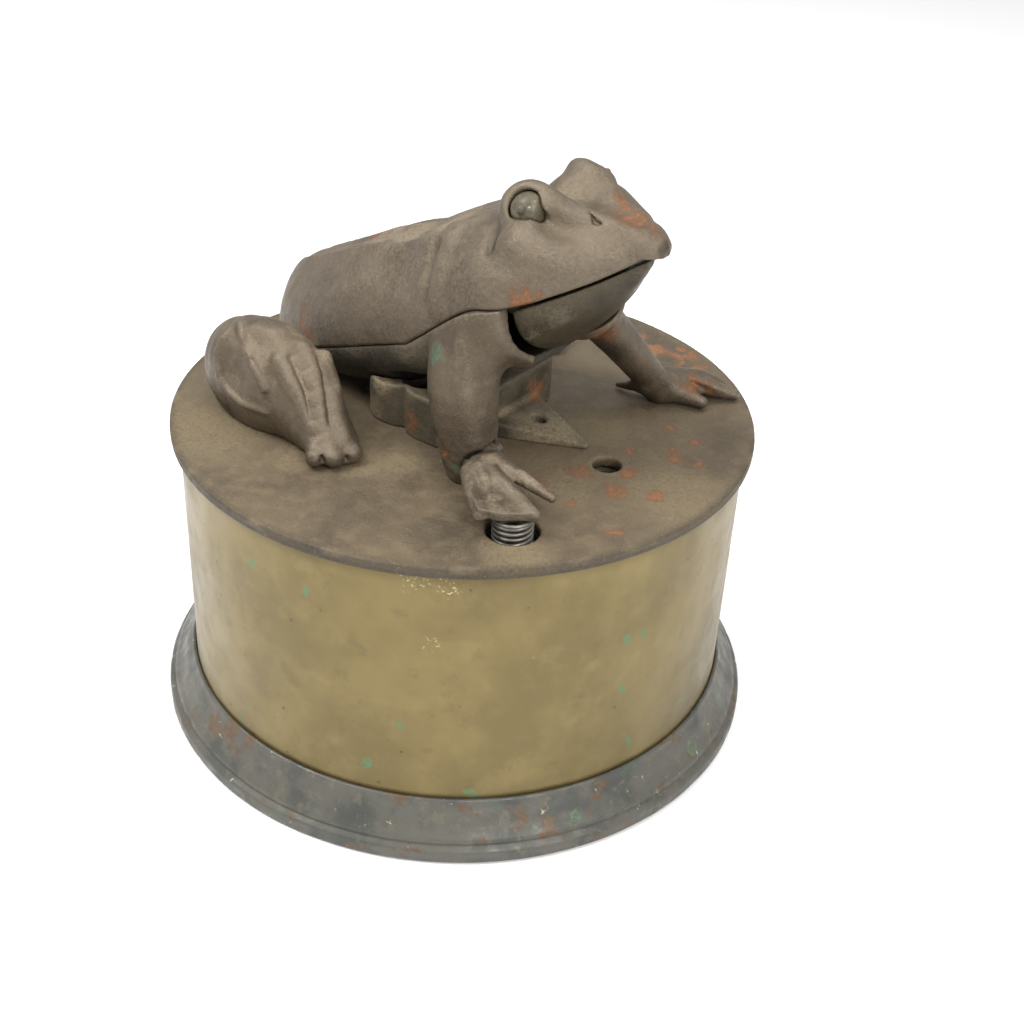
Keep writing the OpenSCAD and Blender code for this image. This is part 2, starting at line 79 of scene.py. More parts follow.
class Block:
    """A box of sample points in millimetres."""

    def __init__(self, lo, hi, step):
        self.lo, self.step = np.array(lo, float), step * FINE
        n = [int(math.ceil((b - a) / self.step)) + 1 for a, b in zip(lo, hi)]
        axes = [(a + self.step * np.arange(k)).astype(np.float32) for a, k in zip(lo, n)]
        self.n = n
        self.x = axes[0][:, None, None]
        self.y = axes[1][None, :, None]
        self.z = axes[2][None, None, :]

    def full(self, value=0.0):
        return np.full(self.n, value, np.float32)


def smin(a, b, k):
    """Joins two fields with a fillet of about k."""
    h = np.clip(0.5 + 0.5 * (b - a) / k, 0, 1)
    return b + (a - b) * h - k * h * (1 - h)


def smax(a, b, k):
    return -smin(-a, -b, k)


def ball(g, c, r, s=(1, 1, 1)):
    q = np.sqrt(((g.x - c[0]) / s[0]) ** 2 + ((g.y - c[1]) / s[1]) ** 2 + ((g.z - c[2]) / s[2]) ** 2)
    return (q - r) * min(s)


def rod(g, a, b, ra, rb=None):
    """A round-ended bar that may taper."""
    rb = ra if rb is None else rb
    a, b = np.array(a, float), np.array(b, float)
    d = b - a
    t = ((g.x - a[0]) * d[0] + (g.y - a[1]) * d[1] + (g.z - a[2]) * d[2]) / (d @ d)
    t = np.clip(t, 0, 1)
    q = np.sqrt((g.x - a[0] - t * d[0]) ** 2 + (g.y - a[1] - t * d[1]) ** 2 + (g.z - a[2] - t * d[2]) ** 2)
    return q - (ra + (rb - ra) * t)


def line(g, points, radii, k=0.0):
    """Tapered bars through a run of points."""
    if np.isscalar(radii):
        radii = [radii] * len(points)
    d = None
    for i in range(len(points) - 1):
        e = rod(g, points[i], points[i + 1], radii[i], radii[i + 1])
        d = e if d is None else (smin(d, e, k) if k else np.minimum(d, e))
    return d


def limb(g, table, ref, steps=18):
    """An elliptical limb through stations [t, x, y, z, radius across, radius along]."""
    t = np.linspace(table[0][0], table[-1][0], steps + 1)
    p = np.stack([curve(table, k, t) for k in (1, 2, 3)], 1).astype(float)
    ra, rb = curve(table, 4, t), curve(table, 5, t)
    out = g.full(1e3)
    for i in range(steps):
        a, b = p[i], p[i + 1]
        d = b - a
        ln = np.linalg.norm(d)
        if ln < 1e-4:
            continue
        d = d / ln
        across = np.cross(d, ref)
        across /= np.linalg.norm(across)
        along = np.cross(across, d)
        gx, gy, gz = g.x - a[0], g.y - a[1], g.z - a[2]
        s = np.clip(gx * d[0] + gy * d[1] + gz * d[2], 0, ln)
        gx, gy, gz = gx - s * d[0], gy - s * d[1], gz - s * d[2]
        w = s / ln
        r1 = ra[i] + (ra[i + 1] - ra[i]) * w
        r2 = rb[i] + (rb[i + 1] - rb[i]) * w
        u = gx * across[0] + gy * across[1] + gz * across[2]
        v = gx * along[0] + gy * along[1] + gz * along[2]
        q = gx * d[0] + gy * d[1] + gz * d[2]
        rm = np.minimum(r1, r2)
        k0 = np.sqrt((u / r1) ** 2 + (v / r2) ** 2 + (q / rm) ** 2)
        k1 = np.sqrt((u / r1**2) ** 2 + (v / r2**2) ** 2 + (q / rm**2) ** 2) + 1e-6
        out = np.minimum(out, k0 * (k0 - 1) / k1)
    return out


def levelled(g, f):
    """Turns a field that is 1 on a surface into distance near that surface."""
    gx, gy, gz = np.gradient(f, g.step)
    return (f - 1) / np.maximum(np.sqrt(gx**2 + gy**2 + gz**2), 0.02)


# ---- noise on points ----


def hashed(i, j, k, seed):
    h = (i * 73856093) ^ (j * 19349663) ^ (k * 83492791) ^ (seed * 2654435761)
    h = (h ^ (h >> 13)) * 1274126177
    return ((h ^ (h >> 16)) & 0xFFFF) / 32767.5 - 1.0


def noise(p, scale, seed=1):
    q = p / scale + 1000.0
    i = np.floor(q).astype(np.int64)
    f = q - i
    f = f * f * (3 - 2 * f)
    out = np.zeros(len(p))
    for dx in (0, 1):
        for dy in (0, 1):
            for dz in (0, 1):
                w = (
                    (f[:, 0] if dx else 1 - f[:, 0])
                    * (f[:, 1] if dy else 1 - f[:, 1])
                    * (f[:, 2] if dz else 1 - f[:, 2])
                )
                out += w * hashed(i[:, 0] + dx, i[:, 1] + dy, i[:, 2] + dz, seed)
    return out


def clouds(p, scale, seed=1, octaves=3):
    out, a, total = np.zeros(len(p)), 1.0, 0.0
    for o in range(octaves):
        out += a * noise(p, scale / 2**o, seed + 7 * o)
        total += a
        a *= 0.55
    return out / total


def spots(p, places, soft=0.5):
    """1 inside any of the places [x, y, z, r] and 0 outside, with soft edges."""
    out = np.zeros(len(p))
    for x, y, z, r in places:
        d = np.sqrt((p[:, 0] - x) ** 2 + (p[:, 1] - y) ** 2 + (p[:, 2] - z) ** 2)
        out = np.maximum(out, np.clip((r * (1 + soft) - d) / (2 * r * soft), 0, 1))
    return out


# ---- meshes ----


def strewn(count, seed, radii, bearings, heights, sizes):
    """Stain places [x, y, z, r] strewn at random round Z, with bearings in degrees."""
    rng = np.random.default_rng(seed)
    r, a, z, size = (rng.uniform(lo, hi, count) for lo, hi in (radii, bearings, heights, sizes))
    a = np.radians(a)
    return np.stack([r * np.cos(a), r * np.sin(a), z, size], 1).tolist()


def blurred(d, r):
    for axis in range(3):
        for _ in range(2):
            c = np.cumsum(
                np.pad(d, [(r + 1, r) if a == axis else (0, 0) for a in range(3)], "edge"),
                axis=axis,
            )
            n = d.shape[axis]
            hi = np.take(c, np.arange(2 * r + 1, 2 * r + 1 + n), axis=axis)
            lo = np.take(c, np.arange(0, n), axis=axis)
            d = (hi - lo) / (2 * r + 1)
    return d


def sampled(g, d, p):
    q = (p - g.lo) / g.step
    i = np.clip(np.floor(q).astype(int), 0, np.array(g.n) - 2)
    f = q - i
    out = 0
    for dx in (0, 1):
        for dy in (0, 1):
            for dz in (0, 1):
                w = (
                    (f[:, 0] if dx else 1 - f[:, 0])
                    * (f[:, 1] if dy else 1 - f[:, 1])
                    * (f[:, 2] if dz else 1 - f[:, 2])
                )
                out = out + w * d[i[:, 0] + dx, i[:, 1] + dy, i[:, 2] + dz]
    return out


def slope_at(g, d, p):
    e = g.step * 0.7
    n = np.stack(
        [
            sampled(g, d, p + np.array(o) * e) - sampled(g, d, p - np.array(o) * e)
            for o in ((1, 0, 0), (0, 1, 0), (0, 0, 1))
        ],
        1,
    )
    return n / np.maximum(np.linalg.norm(n, axis=1, keepdims=True), 1e-6)


def new_object(name, points, faces, material, masks, body, nodes):
    """points in millimetres above the lid; faces an array of quads."""
    me = bpy.data.meshes.new(name)
    co = (points + np.array([0, 0, LID])) * MM
    n = faces.shape[1]
    me.vertices.add(len(co))
    me.vertices.foreach_set("co", co.astype(np.float32).ravel())
    me.loops.add(faces.size)
    me.loops.foreach_set("vertex_index", faces.astype(np.int32).ravel())
    me.polygons.add(len(faces))
    me.polygons.foreach_set("loop_start", np.arange(0, faces.size, n, dtype=np.int32))
    me.polygons.foreach_set("use_smooth", np.ones(len(faces), bool))
    me.update(calc_edges=True)
    me.validate()
    for key, values in masks.items():
        a = me.attributes.new(key, "FLOAT", "POINT")
        a.data.foreach_set("value", np.asarray(values, np.float32))
    me.materials.append(material)
    ob = bpy.data.objects.new(name, me)
    bpy.context.scene.collection.objects.link(ob)
    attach(ob, body)
    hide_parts(*nodes)
    return ob


def cast(name, g, d, material, body, nodes, masks, rough=0.05, pits=0.0, blur=1.3):
    """Meshes a distance field, roughens it like sand-cast iron and stores its masks."""
    for axis in range(3):
        ends = [slice(None)] * 3
        for end in (0, -1):
            ends[axis] = end
            d[tuple(ends)] = np.maximum(d[tuple(ends)], g.step)
    d = np.clip(d, -4, 4)
    grid = vdb.FloatGrid(4.0)
    grid.copyFromArray(d.astype(np.float32))
    pts, quads = grid.convertToQuads(0.0)
    pts = np.asarray(pts, float) * g.step + g.lo
    quads = np.asarray(quads)
    for _ in range(2):
        nrm = slope_at(g, d, pts)
        pts = pts - nrm * np.clip(sampled(g, d, pts), -0.2, 0.2)[:, None]
    a, b, c, e = (pts[quads[:, i]] for i in range(4))
    face = np.cross(c - a, e - b)
    mean = nrm[quads].mean(1)
    if (face * mean).sum() < 0:
        quads = quads[:, ::-1]
    wide = blurred(d, max(1, int(round(blur / g.step))))
    cav = sampled(g, wide, pts) / blur
    shift = rough * clouds(pts, 1.6, 3) + 0.6 * rough * clouds(pts, 5.0, 11, 2)
    if pits:
        dots = noise(pts, 0.9, 21)
        shift = shift - pits * np.clip((dots - 0.62) / 0.2, 0, 1)
    out = pts + nrm * shift[:, None]
    values = {"cav": cav, "up": nrm[:, 2]}
    values.update(masks(pts, nrm, cav) if masks else {})
    return new_object(name, out, quads, material, values, body, nodes)


def turned(name, profile, material, body, nodes, masks, count=720, relief=None, step=0.6):
    """A closed profile of [radius, height] turned about Z."""
    count = int(count / FINE)
    pr = []
    for (r0, z0), (r1, z1) in zip(profile, profile[1:] + profile[:1]):
        k = max(1, int(math.hypot(r1 - r0, z1 - z0) / (step * FINE)))
        for i in range(k):
            pr.append((r0 + (r1 - r0) * i / k, z0 + (z1 - z0) * i / k))
    pr = np.array(pr)
    m = len(pr)
    a = 2 * np.pi * np.arange(count) / count
    pts = np.stack(
        [
            pr[None, :, 0] * np.cos(a)[:, None],
            pr[None, :, 0] * np.sin(a)[:, None],
            np.repeat(pr[None, :, 1], count, 0),
        ],
        -1,
    ).reshape(-1, 3)
    tangent = np.roll(pr, -1, 0) - np.roll(pr, 1, 0)
    nr = np.stack([tangent[:, 1], -tangent[:, 0]], 1)
    nr /= np.maximum(np.linalg.norm(nr, axis=1, keepdims=True), 1e-9)
    nrm = np.stack(
        [
            nr[None, :, 0] * np.cos(a)[:, None],
            nr[None, :, 0] * np.sin(a)[:, None],
            np.repeat(nr[None, :, 1], count, 0),
        ],
        -1,
    ).reshape(-1, 3)
    if relief:
        pts = pts + nrm * relief(pts, nrm)[:, None]
    i = np.arange(count)[:, None]
    j = np.arange(m)[None, :]
    q = np.stack(
        [
            (i * m + j).ravel(),
            (((i + 1) % count) * m + j).ravel(),
            (((i + 1) % count) * m + (j + 1) % m).ravel(),
            (i * m + (j + 1) % m).ravel(),
        ],
        1,
    )
    values = {"up": nrm[:, 2]}
    values.update(masks(pts, nrm) if masks else {})
    return new_object(name, pts, q, material, values, body, nodes)


# ---- materials ----


class Shader:
    """Builds a material's nodes."""

    def __init__(self, name, base, rough, metal):
        self.mat = bpy.data.materials.new(name)
        self.mat.use_nodes = True
        self.t = self.mat.node_tree
        self.bsdf = self.t.nodes["Principled BSDF"]
        self.bsdf.inputs["Metallic"].default_value = metal
        self.bsdf.inputs["Roughness"].default_value = rough
        coord = self.t.nodes.new("ShaderNodeTexCoord")
        self.obj = coord.outputs["Object"]
        self.colour = (*lin(base), 1)

    def put(self, socket, value):
        if hasattr(value, "is_output"):
            self.t.links.new(value, socket)
        else:
            socket.default_value = value

    def noise(self, size_mm, detail=4, rough=0.6, distort=0.0, stretch=None):
        vec = self.obj
        if stretch:
            mp = self.t.nodes.new("ShaderNodeMapping")
            mp.inputs["Scale"].default_value = stretch
            self.t.links.new(vec, mp.inputs["Vector"])
            vec = mp.outputs[0]
        n = self.t.nodes.new("ShaderNodeTexNoise")
        n.inputs["Scale"].default_value = 1000 / size_mm
        n.inputs["Detail"].default_value = detail
        n.inputs["Roughness"].default_value = rough
        n.inputs["Distortion"].default_value = distort
        self.t.links.new(vec, n.inputs["Vector"])
        return n.outputs["Fac"]

    def cells(self, size_mm, jitter=1.0):
        n = self.t.nodes.new("ShaderNodeTexVoronoi")
        n.inputs["Scale"].default_value = 1000 / size_mm
        n.inputs["Randomness"].default_value = jitter
        self.t.links.new(self.obj, n.inputs["Vector"])
        return n.outputs["Distance"]

    def attr(self, name):
        n = self.t.nodes.new("ShaderNodeAttribute")
        n.attribute_name = name
        return n.outputs["Fac"]

    def ramp(self, v, lo, hi, to_lo=0.0, to_hi=1.0):
        n = self.t.nodes.new("ShaderNodeMapRange")
        n.interpolation_type = "SMOOTHSTEP"
        n.inputs["From Min"].default_value = lo
        n.inputs["From Max"].default_value = hi
        n.inputs["To Min"].default_value = to_lo
        n.inputs["To Max"].default_value = to_hi
        self.t.links.new(v, n.inputs["Value"])
        return n.outputs[0]

    def math(self, op, a, b=0.0):
        n = self.t.nodes.new("ShaderNodeMath")
        n.operation = op
        self.put(n.inputs[0], a)
        self.put(n.inputs[1], b)
        return n.outputs[0]

    def tint(self, fac, rgb):
        """Lays a colour over the one so far."""
        n = self.t.nodes.new("ShaderNodeMix")
        n.data_type = "RGBA"
        self.put(n.inputs["Factor"], fac)
        self.put(n.inputs["A"], self.colour)
        self.put(n.inputs["B"], (*lin(rgb), 1))
        self.colour = n.outputs["Result"]
        return self

    def shade(self, fac, amount):
        """Darkens or lightens the colour so far."""
        n = self.t.nodes.new("ShaderNodeMix")
        n.data_type = "RGBA"
        n.blend_type = "MULTIPLY"
        self.put(n.inputs["Factor"], fac)
        self.put(n.inputs["A"], self.colour)
        n.inputs["B"].default_value = (amount, amount, amount, 1)
        self.colour = n.outputs["Result"]
        return self

    def done(self, rough=None, metal=None, bumps=()):
        self.put(self.bsdf.inputs["Base Color"], self.colour)
        if rough is not None:
            self.put(self.bsdf.inputs["Roughness"], rough)
        if metal is not None:
            self.put(self.bsdf.inputs["Metallic"], metal)
        last = None
        for height, distance_mm, strength in bumps:
            b = self.t.nodes.new("ShaderNodeBump")
            b.inputs["Distance"].default_value = distance_mm * MM
            b.inputs["Strength"].default_value = strength
            self.t.links.new(height, b.inputs["Height"])
            if last:
                self.t.links.new(last, b.inputs["Normal"])
            last = b.outputs[0]
        if last:
            self.t.links.new(last, self.bsdf.inputs["Normal"])
        return self.mat


def lin(rgb):
    """8-bit screen colour to linear."""
    out = []
    for v in rgb:
        v = v / 255
        out.append(v / 12.92 if v <= 0.04045 else ((v + 0.055) / 1.055) ** 2.4)
    return out


def cast_iron(name, base, dark, light, dust, dusty=1.0, rough=0.55, metal=0.25):
    """Worn, dusty cast iron: cavities hold dust, edges are rubbed paler, rust lies in patches, and the
    dark mask darkens it: painted shade in creases, under parts and in recesses, plus darker patches on the
    lid.
    """
    s = Shader(name, base, rough, metal)
    broad = s.noise(14, 5, 0.6)
    mid = s.noise(3.2, 5, 0.65)
    fine = s.noise(0.7, 4, 0.7)
    grain = s.noise(0.28, 3, 0.7)
    cav = s.attr("cav")
    s.tint(s.ramp(broad, 0.42, 0.66), dark)
    s.tint(s.math("MULTIPLY", s.ramp(mid, 0.5, 0.72), 0.55), light)
    worn = s.math("MULTIPLY", s.ramp(cav, 0.06, 0.28), s.ramp(fine, 0.35, 0.65))
    s.tint(s.math("MULTIPLY", worn, 0.6), light)
    pocket = s.ramp(cav, -0.02, -0.2)
    up = s.ramp(s.attr("up"), 0.2, 0.95)
    lying = s.math("MULTIPLY", up, s.ramp(mid, 0.42, 0.62))
    held = s.math(
        "MAXIMUM", s.math("MULTIPLY", pocket, s.ramp(fine, 0.3, 0.6)),
        s.math("MULTIPLY", lying, 0.22),
    )
    held = s.math("MAXIMUM", held, s.math("MULTIPLY", s.attr("dust"), s.ramp(fine, 0.25, 0.6)))
    s.tint(s.math("MULTIPLY", held, 0.75 * dusty), dust)
    # painted shade: darkens wherever the dark mask is set (creases, under parts, recesses; on the lid also
    # darker patches)
    s.shade(s.math("MULTIPLY", s.attr("dark"), 0.9), 0.35)
    s.tint(s.math("MULTIPLY", s.ramp(grain, 0.62, 0.72), 0.5), (182, 170, 144))
    s.shade(s.math("MULTIPLY", s.ramp(grain, 0.36, 0.26), 0.5), 0.55)
    rust = s.math("MULTIPLY", s.attr("rust"), s.ramp(mid, 0.36, 0.56))
    spread = s.math("ADD", s.math("MULTIPLY", rust, 0.34), s.noise(0.45, 5, 0.75))
    s.tint(s.math("MULTIPLY", s.ramp(rust, 0.05, 0.9), 0.42), (104, 76, 54))
    s.tint(s.math("MULTIPLY", s.ramp(spread, 0.56, 0.78), s.ramp(rust, 0.05, 0.4)), (108, 74, 50))
    s.tint(s.math("MULTIPLY", s.ramp(spread, 0.7, 0.86), s.ramp(rust, 0.1, 0.5)), (132, 92, 60))
    s.tint(s.math("MULTIPLY", s.ramp(s.attr("green"), 0.2, 0.8), s.ramp(fine, 0.4, 0.6)), (84, 112, 88))
    r = s.math("ADD", s.ramp(mid, 0.3, 0.7, rough - 0.1, rough + 0.1), s.math("MULTIPLY", held, 0.25))
    m = s.math("MULTIPLY", s.ramp(held, 0.1, 0.7, 1.0, 0.1), metal)
    return s.done(r, m, [(fine, 0.24, 0.6), (grain, 0.1, 0.9)])


def small_steel(name, base, rough=0.4):
    """Plain hardware: dull steel with stains and fine scratches."""
    s = Shader(name, base, rough, 0.75)
    s.tint(s.ramp(s.noise(4, 4), 0.5, 0.7), [v * 0.62 for v in base])
    s.tint(s.math("MULTIPLY", s.ramp(s.noise(1.1, 5), 0.58, 0.7), 0.6), (122, 86, 60))
    return s.done(
        s.ramp(s.noise(0.8, 3), 0.3, 0.7, rough, rough + 0.3), 0.75, [(s.noise(0.4, 3), 0.03, 0.4)],
    )


DUST = (158, 141, 110)
iron = cast_iron("frog_iron", (99, 87, 71), (82, 71, 56), (116, 105, 90), DUST, 0.4, 0.44, 0.5)
iron_smooth = cast_iron("jaw_iron", (68, 60, 44), (55, 48, 36), (82, 73, 54), DUST, 0.12, 0.38, 0.5)
# the belly's iron is a darker copy of the frog's iron: painted shade under the body
iron_belly_painted_shade = cast_iron("belly_iron_painted_shade", (66, 60, 49), (50, 45, 38), (84, 76, 62), DUST, 0.3, 0.6, 0.2)
lid_iron = cast_iron("lid_iron", (98, 85, 65), (82, 70, 53), (110, 97, 75), (128, 113, 84), 0.7, 0.6, 0.12)
chute_iron = cast_iron("chute_iron", (92, 83, 66), (70, 63, 50), (112, 102, 82), DUST, 0.7, 0.6, 0.2)
steel = small_steel("dull_steel", (118, 112, 104))
spring_steel = small_steel("spring_steel", (132, 128, 120), 0.32)

eye_paint = Shader("eye_paint", (80, 73, 56), 0.42, 0.1)
eye_paint.tint(eye_paint.ramp(eye_paint.noise(2.6, 5), 0.48, 0.64), (106, 98, 74))
eye_paint.tint(eye_paint.ramp(eye_paint.noise(1.2, 5), 0.56, 0.66), (72, 66, 56))
eye_paint.tint(eye_paint.ramp(eye_paint.noise(0.5, 3), 0.64, 0.72), (168, 158, 92))
eye_mat = eye_paint.done(None, None, [(eye_paint.noise(0.9, 4), 0.1, 0.6)])

brass = Shader("drum_brass", (124, 109, 69), 0.36, 0.6)
brass.tint(brass.ramp(brass.noise(26, 4), 0.4, 0.64), (110, 96, 60))
brass.tint(brass.math("MULTIPLY", brass.ramp(brass.noise(9, 5), 0.5, 0.7), 0.5), (134, 118, 78))
brass.tint(brass.math("MULTIPLY", brass.ramp(brass.noise(5, 6, 0.7), 0.56, 0.68), 0.4), (98, 87, 58))
brass.tint(brass.math("MULTIPLY", brass.ramp(brass.noise(0.9, 3), 0.67, 0.76), 0.5), (88, 76, 52))
brass.tint(brass.math("MULTIPLY", brass.ramp(brass.cells(5.5), 0.085, 0.05), 0.7), (78, 66, 44))
brass.tint(
    brass.math(
        "MULTIPLY", brass.ramp(brass.attr("green"), 0.25, 0.6),
        brass.ramp(brass.noise(1.0, 4), 0.36, 0.52),
    ),
    (88, 118, 84),
)
brass.tint(
    brass.math(
        "MULTIPLY", brass.ramp(brass.attr("pale"), 0.1, 0.9),
        brass.ramp(brass.noise(0.6, 5, 0.7), 0.56, 0.64),
    ),
    (196, 184, 132),
)
# painted shade: darkens the drum under the lid's overhang and on its inside
brass.shade(brass.math("MULTIPLY", brass.attr("dark"), 0.7), 0.4)
brass_mat = brass.done(
    brass.ramp(brass.noise(7, 5), 0.3, 0.7, 0.3, 0.44),
    0.55,
    [(brass.noise(16, 3), 0.25, 0.25), (brass.noise(0.5, 3), 0.02, 0.35)],
)

ring = Shader("ring_paint", (90, 88, 80), 0.42, 0.25)
ring.tint(ring.ramp(ring.noise(11, 5), 0.45, 0.6), (74, 75, 70))
ring.tint(ring.math("MULTIPLY", ring.ramp(ring.noise(3.5, 6, 0.7), 0.55, 0.64), 0.7), (104, 99, 84))
bare = ring.math(
    "MAXIMUM", ring.ramp(ring.noise(6.5, 6, 0.68), 0.585, 0.615),
    ring.ramp(ring.attr("rust"), 0.45, 0.6),
)
ring.tint(bare, (92, 76, 60))
ring.tint(ring.math("MULTIPLY", bare, ring.ramp(ring.noise(1.2, 4), 0.5, 0.62)), (104, 80, 60))
chips = ring.ramp(ring.noise(2.4, 7, 0.78), 0.645, 0.665)
ring.tint(ring.math("MULTIPLY", chips, 0.85), (190, 186, 150))
ring.tint(ring.ramp(ring.noise(5.2, 6, 0.75, 0.6), 0.665, 0.685), (150, 158, 112))
ring.tint(
    ring.math(
        "MULTIPLY", ring.ramp(ring.attr("green"), 0.3, 0.7),
        ring.ramp(ring.noise(0.9, 4), 0.4, 0.55),
    ),
    (86, 110, 84),
)
ring.tint(ring.math("MULTIPLY", ring.ramp(ring.noise(8, 5, 0.7), 0.6, 0.68), 0.45), (78, 100, 82))
ring.tint(ring.math("MULTIPLY", ring.ramp(ring.noise(0.6, 3), 0.64, 0.74), 0.5), (66, 60, 52))
ring_mat = ring.done(
    ring.ramp(ring.noise(4, 5), 0.3, 0.7, 0.32, 0.6),
    0.2,
    [(ring.noise(6.5, 6, 0.68), 0.35, 0.5), (ring.noise(0.8, 4), 0.08, 0.5)],
)


def masks(rust=(), dust=(), dark=(), green=(), wobble=0.35, scale=2.0):
    """Vertex masks from places [x, y, z, r], with ragged edges."""

    def make(p, nrm, cav=None):
        shift = p + wobble * 4 * np.stack([clouds(p, scale, s) for s in (31, 41, 51)], 1)
        out = {}
        for key, places in (("rust", rust), ("dust", dust), ("dark", dark), ("green", green)):
            out[key] = spots(shift, places) if places else np.zeros(len(p))
        return out

    return make


# ---- the frog's outline, heights above the lid ----

BODY = [
    [-45.2, 3, 11, 4.5],
    [-43.6, 7.4, 16.6, 2.2],
    [-39.5, 11.2, 20.8, 1.2],
    [-34, 13.8, 23.7, 0.8],
    [-26, 16, 27.9, 0.8],
    [-17, 17.2, 32.6, 1.6],
    [-8, 17.6, 36.2, 4.6],
    [0, 18.2, 40.8, 8.6],
    [8, 19.6, 44.8, 12.4],
    [16, 20.4, 47.4, 15.8],
    [22, 20, 48.4, 17.6],
    [26, 17.9, 48.2, 19.4],
    [30, 14.8, 47.9, 22],
    [33, 11.6, 47.7, 24],
    [36.3, 7.6, 47.2, 26],
    [39, 4.4, 46.5, 28],
    [41, 2.4, 45.7, 29],
    [41.8, 1.1, 45.1, 29.4],
]
JAW = [
    [22.2, 17.5, 20.6],
    [23.6, 17.2, 21.4],
    [26, 16.8, 23.2],
    [29.3, 14.4, 26.6],
    [32, 11.4, 29.8],
    [34.6, 7.4, 33.4],
    [36.4, 4.4, 36.2],
    [37.8, 2.8, 38.2],
    [39.0, 1.4, 40.4],
]
EYE = (20.0, 9.6, 48.4)
EYE_R = 3.1


def mouth(x):
    rise = 0.02 * np.maximum(x - 32, 0) ** 2
    return np.minimum(35.4 + 0.5 * (x - 26) + np.minimum(rise, 1.1), 43.3)


EDGE = [[0, 19.7], [8, 26], [16, 32], [22, 34], [27, 35.9]]


def edge(x):
    """The lower edge of the back: level behind, over the shoulders in an arch, then along the mouth."""
    return np.where(x < 0, 19.7 + 0.393 * x, np.where(x > 27, mouth(x), curve(EDGE, 1, x)))


def section(g, w, base, top, n):
    """1 on a superelliptical section, straight down below its base."""
    h = top - base
    z = np.maximum((g.z - base) * np.sign(h), 0) / np.abs(h)
    return ((np.abs(g.y) / w) ** n + z**n) ** (1 / n)


def body_field(g, inset=0.0, n_back=2.3):
    x = g.x[:, 0, 0]
    w = np.maximum(curve(BODY, 1, x), 0.3)[:, None, None] - inset
    top = curve(BODY, 2, x)[:, None, None] - inset
    base = edge(x)[:, None, None].astype(np.float32)
    n = (n_back - (n_back - 2.2) * np.clip((x + 2) / 12, 0, 1))[:, None, None].astype(np.float32)
    up = levelled(g, section(g, w, base, top, n))
    ends = np.maximum(g.x - 41.9, -45.3 - g.x)
    return np.maximum(up, ends), base


def belly_field(g, inset=0.2):
    x = g.x[:, 0, 0]
    w = np.maximum(curve(BODY, 1, x), 0.3)[:, None, None] - inset
    base = edge(x)[:, None, None].astype(np.float32)
    low = curve(BODY, 3, x)[:, None, None]
    low = np.minimum(low, base - 1)
    return levelled(g, section(g, w, base, low, 2.2)), base


def jaw_sweep(g):
    """Negative where the rear face of the jaw swings as the mouth opens."""
    x, z = g.x - JAW_PIVOT[0], g.z - JAW_PIVOT[1]
    turns = [math.radians(a) for a in (8, 0, -8, -16.5)]
    reach = np.maximum.reduce([x * math.cos(a) + z * math.sin(a) for a in turns])
    return np.maximum(3.6 - reach, jaw_room(g))


def jaw_room(g):
    """Negative where the jaw swings."""
    side = [[0, 14.3], [6, 13.8], [10, 12.6], [13, 11], [15, 9.6], [16.8, 7.6], [17.6, 5.4], [18.2, -3]]
    s = np.array(side)
    reach = np.interp(np.abs(g.y), s[:, 0], s[:, 1]).astype(np.float32)
    return np.sqrt((g.x - JAW_PIVOT[0]) ** 2 + (g.z - JAW_PIVOT[1]) ** 2) - reach


# ---- frog back ----


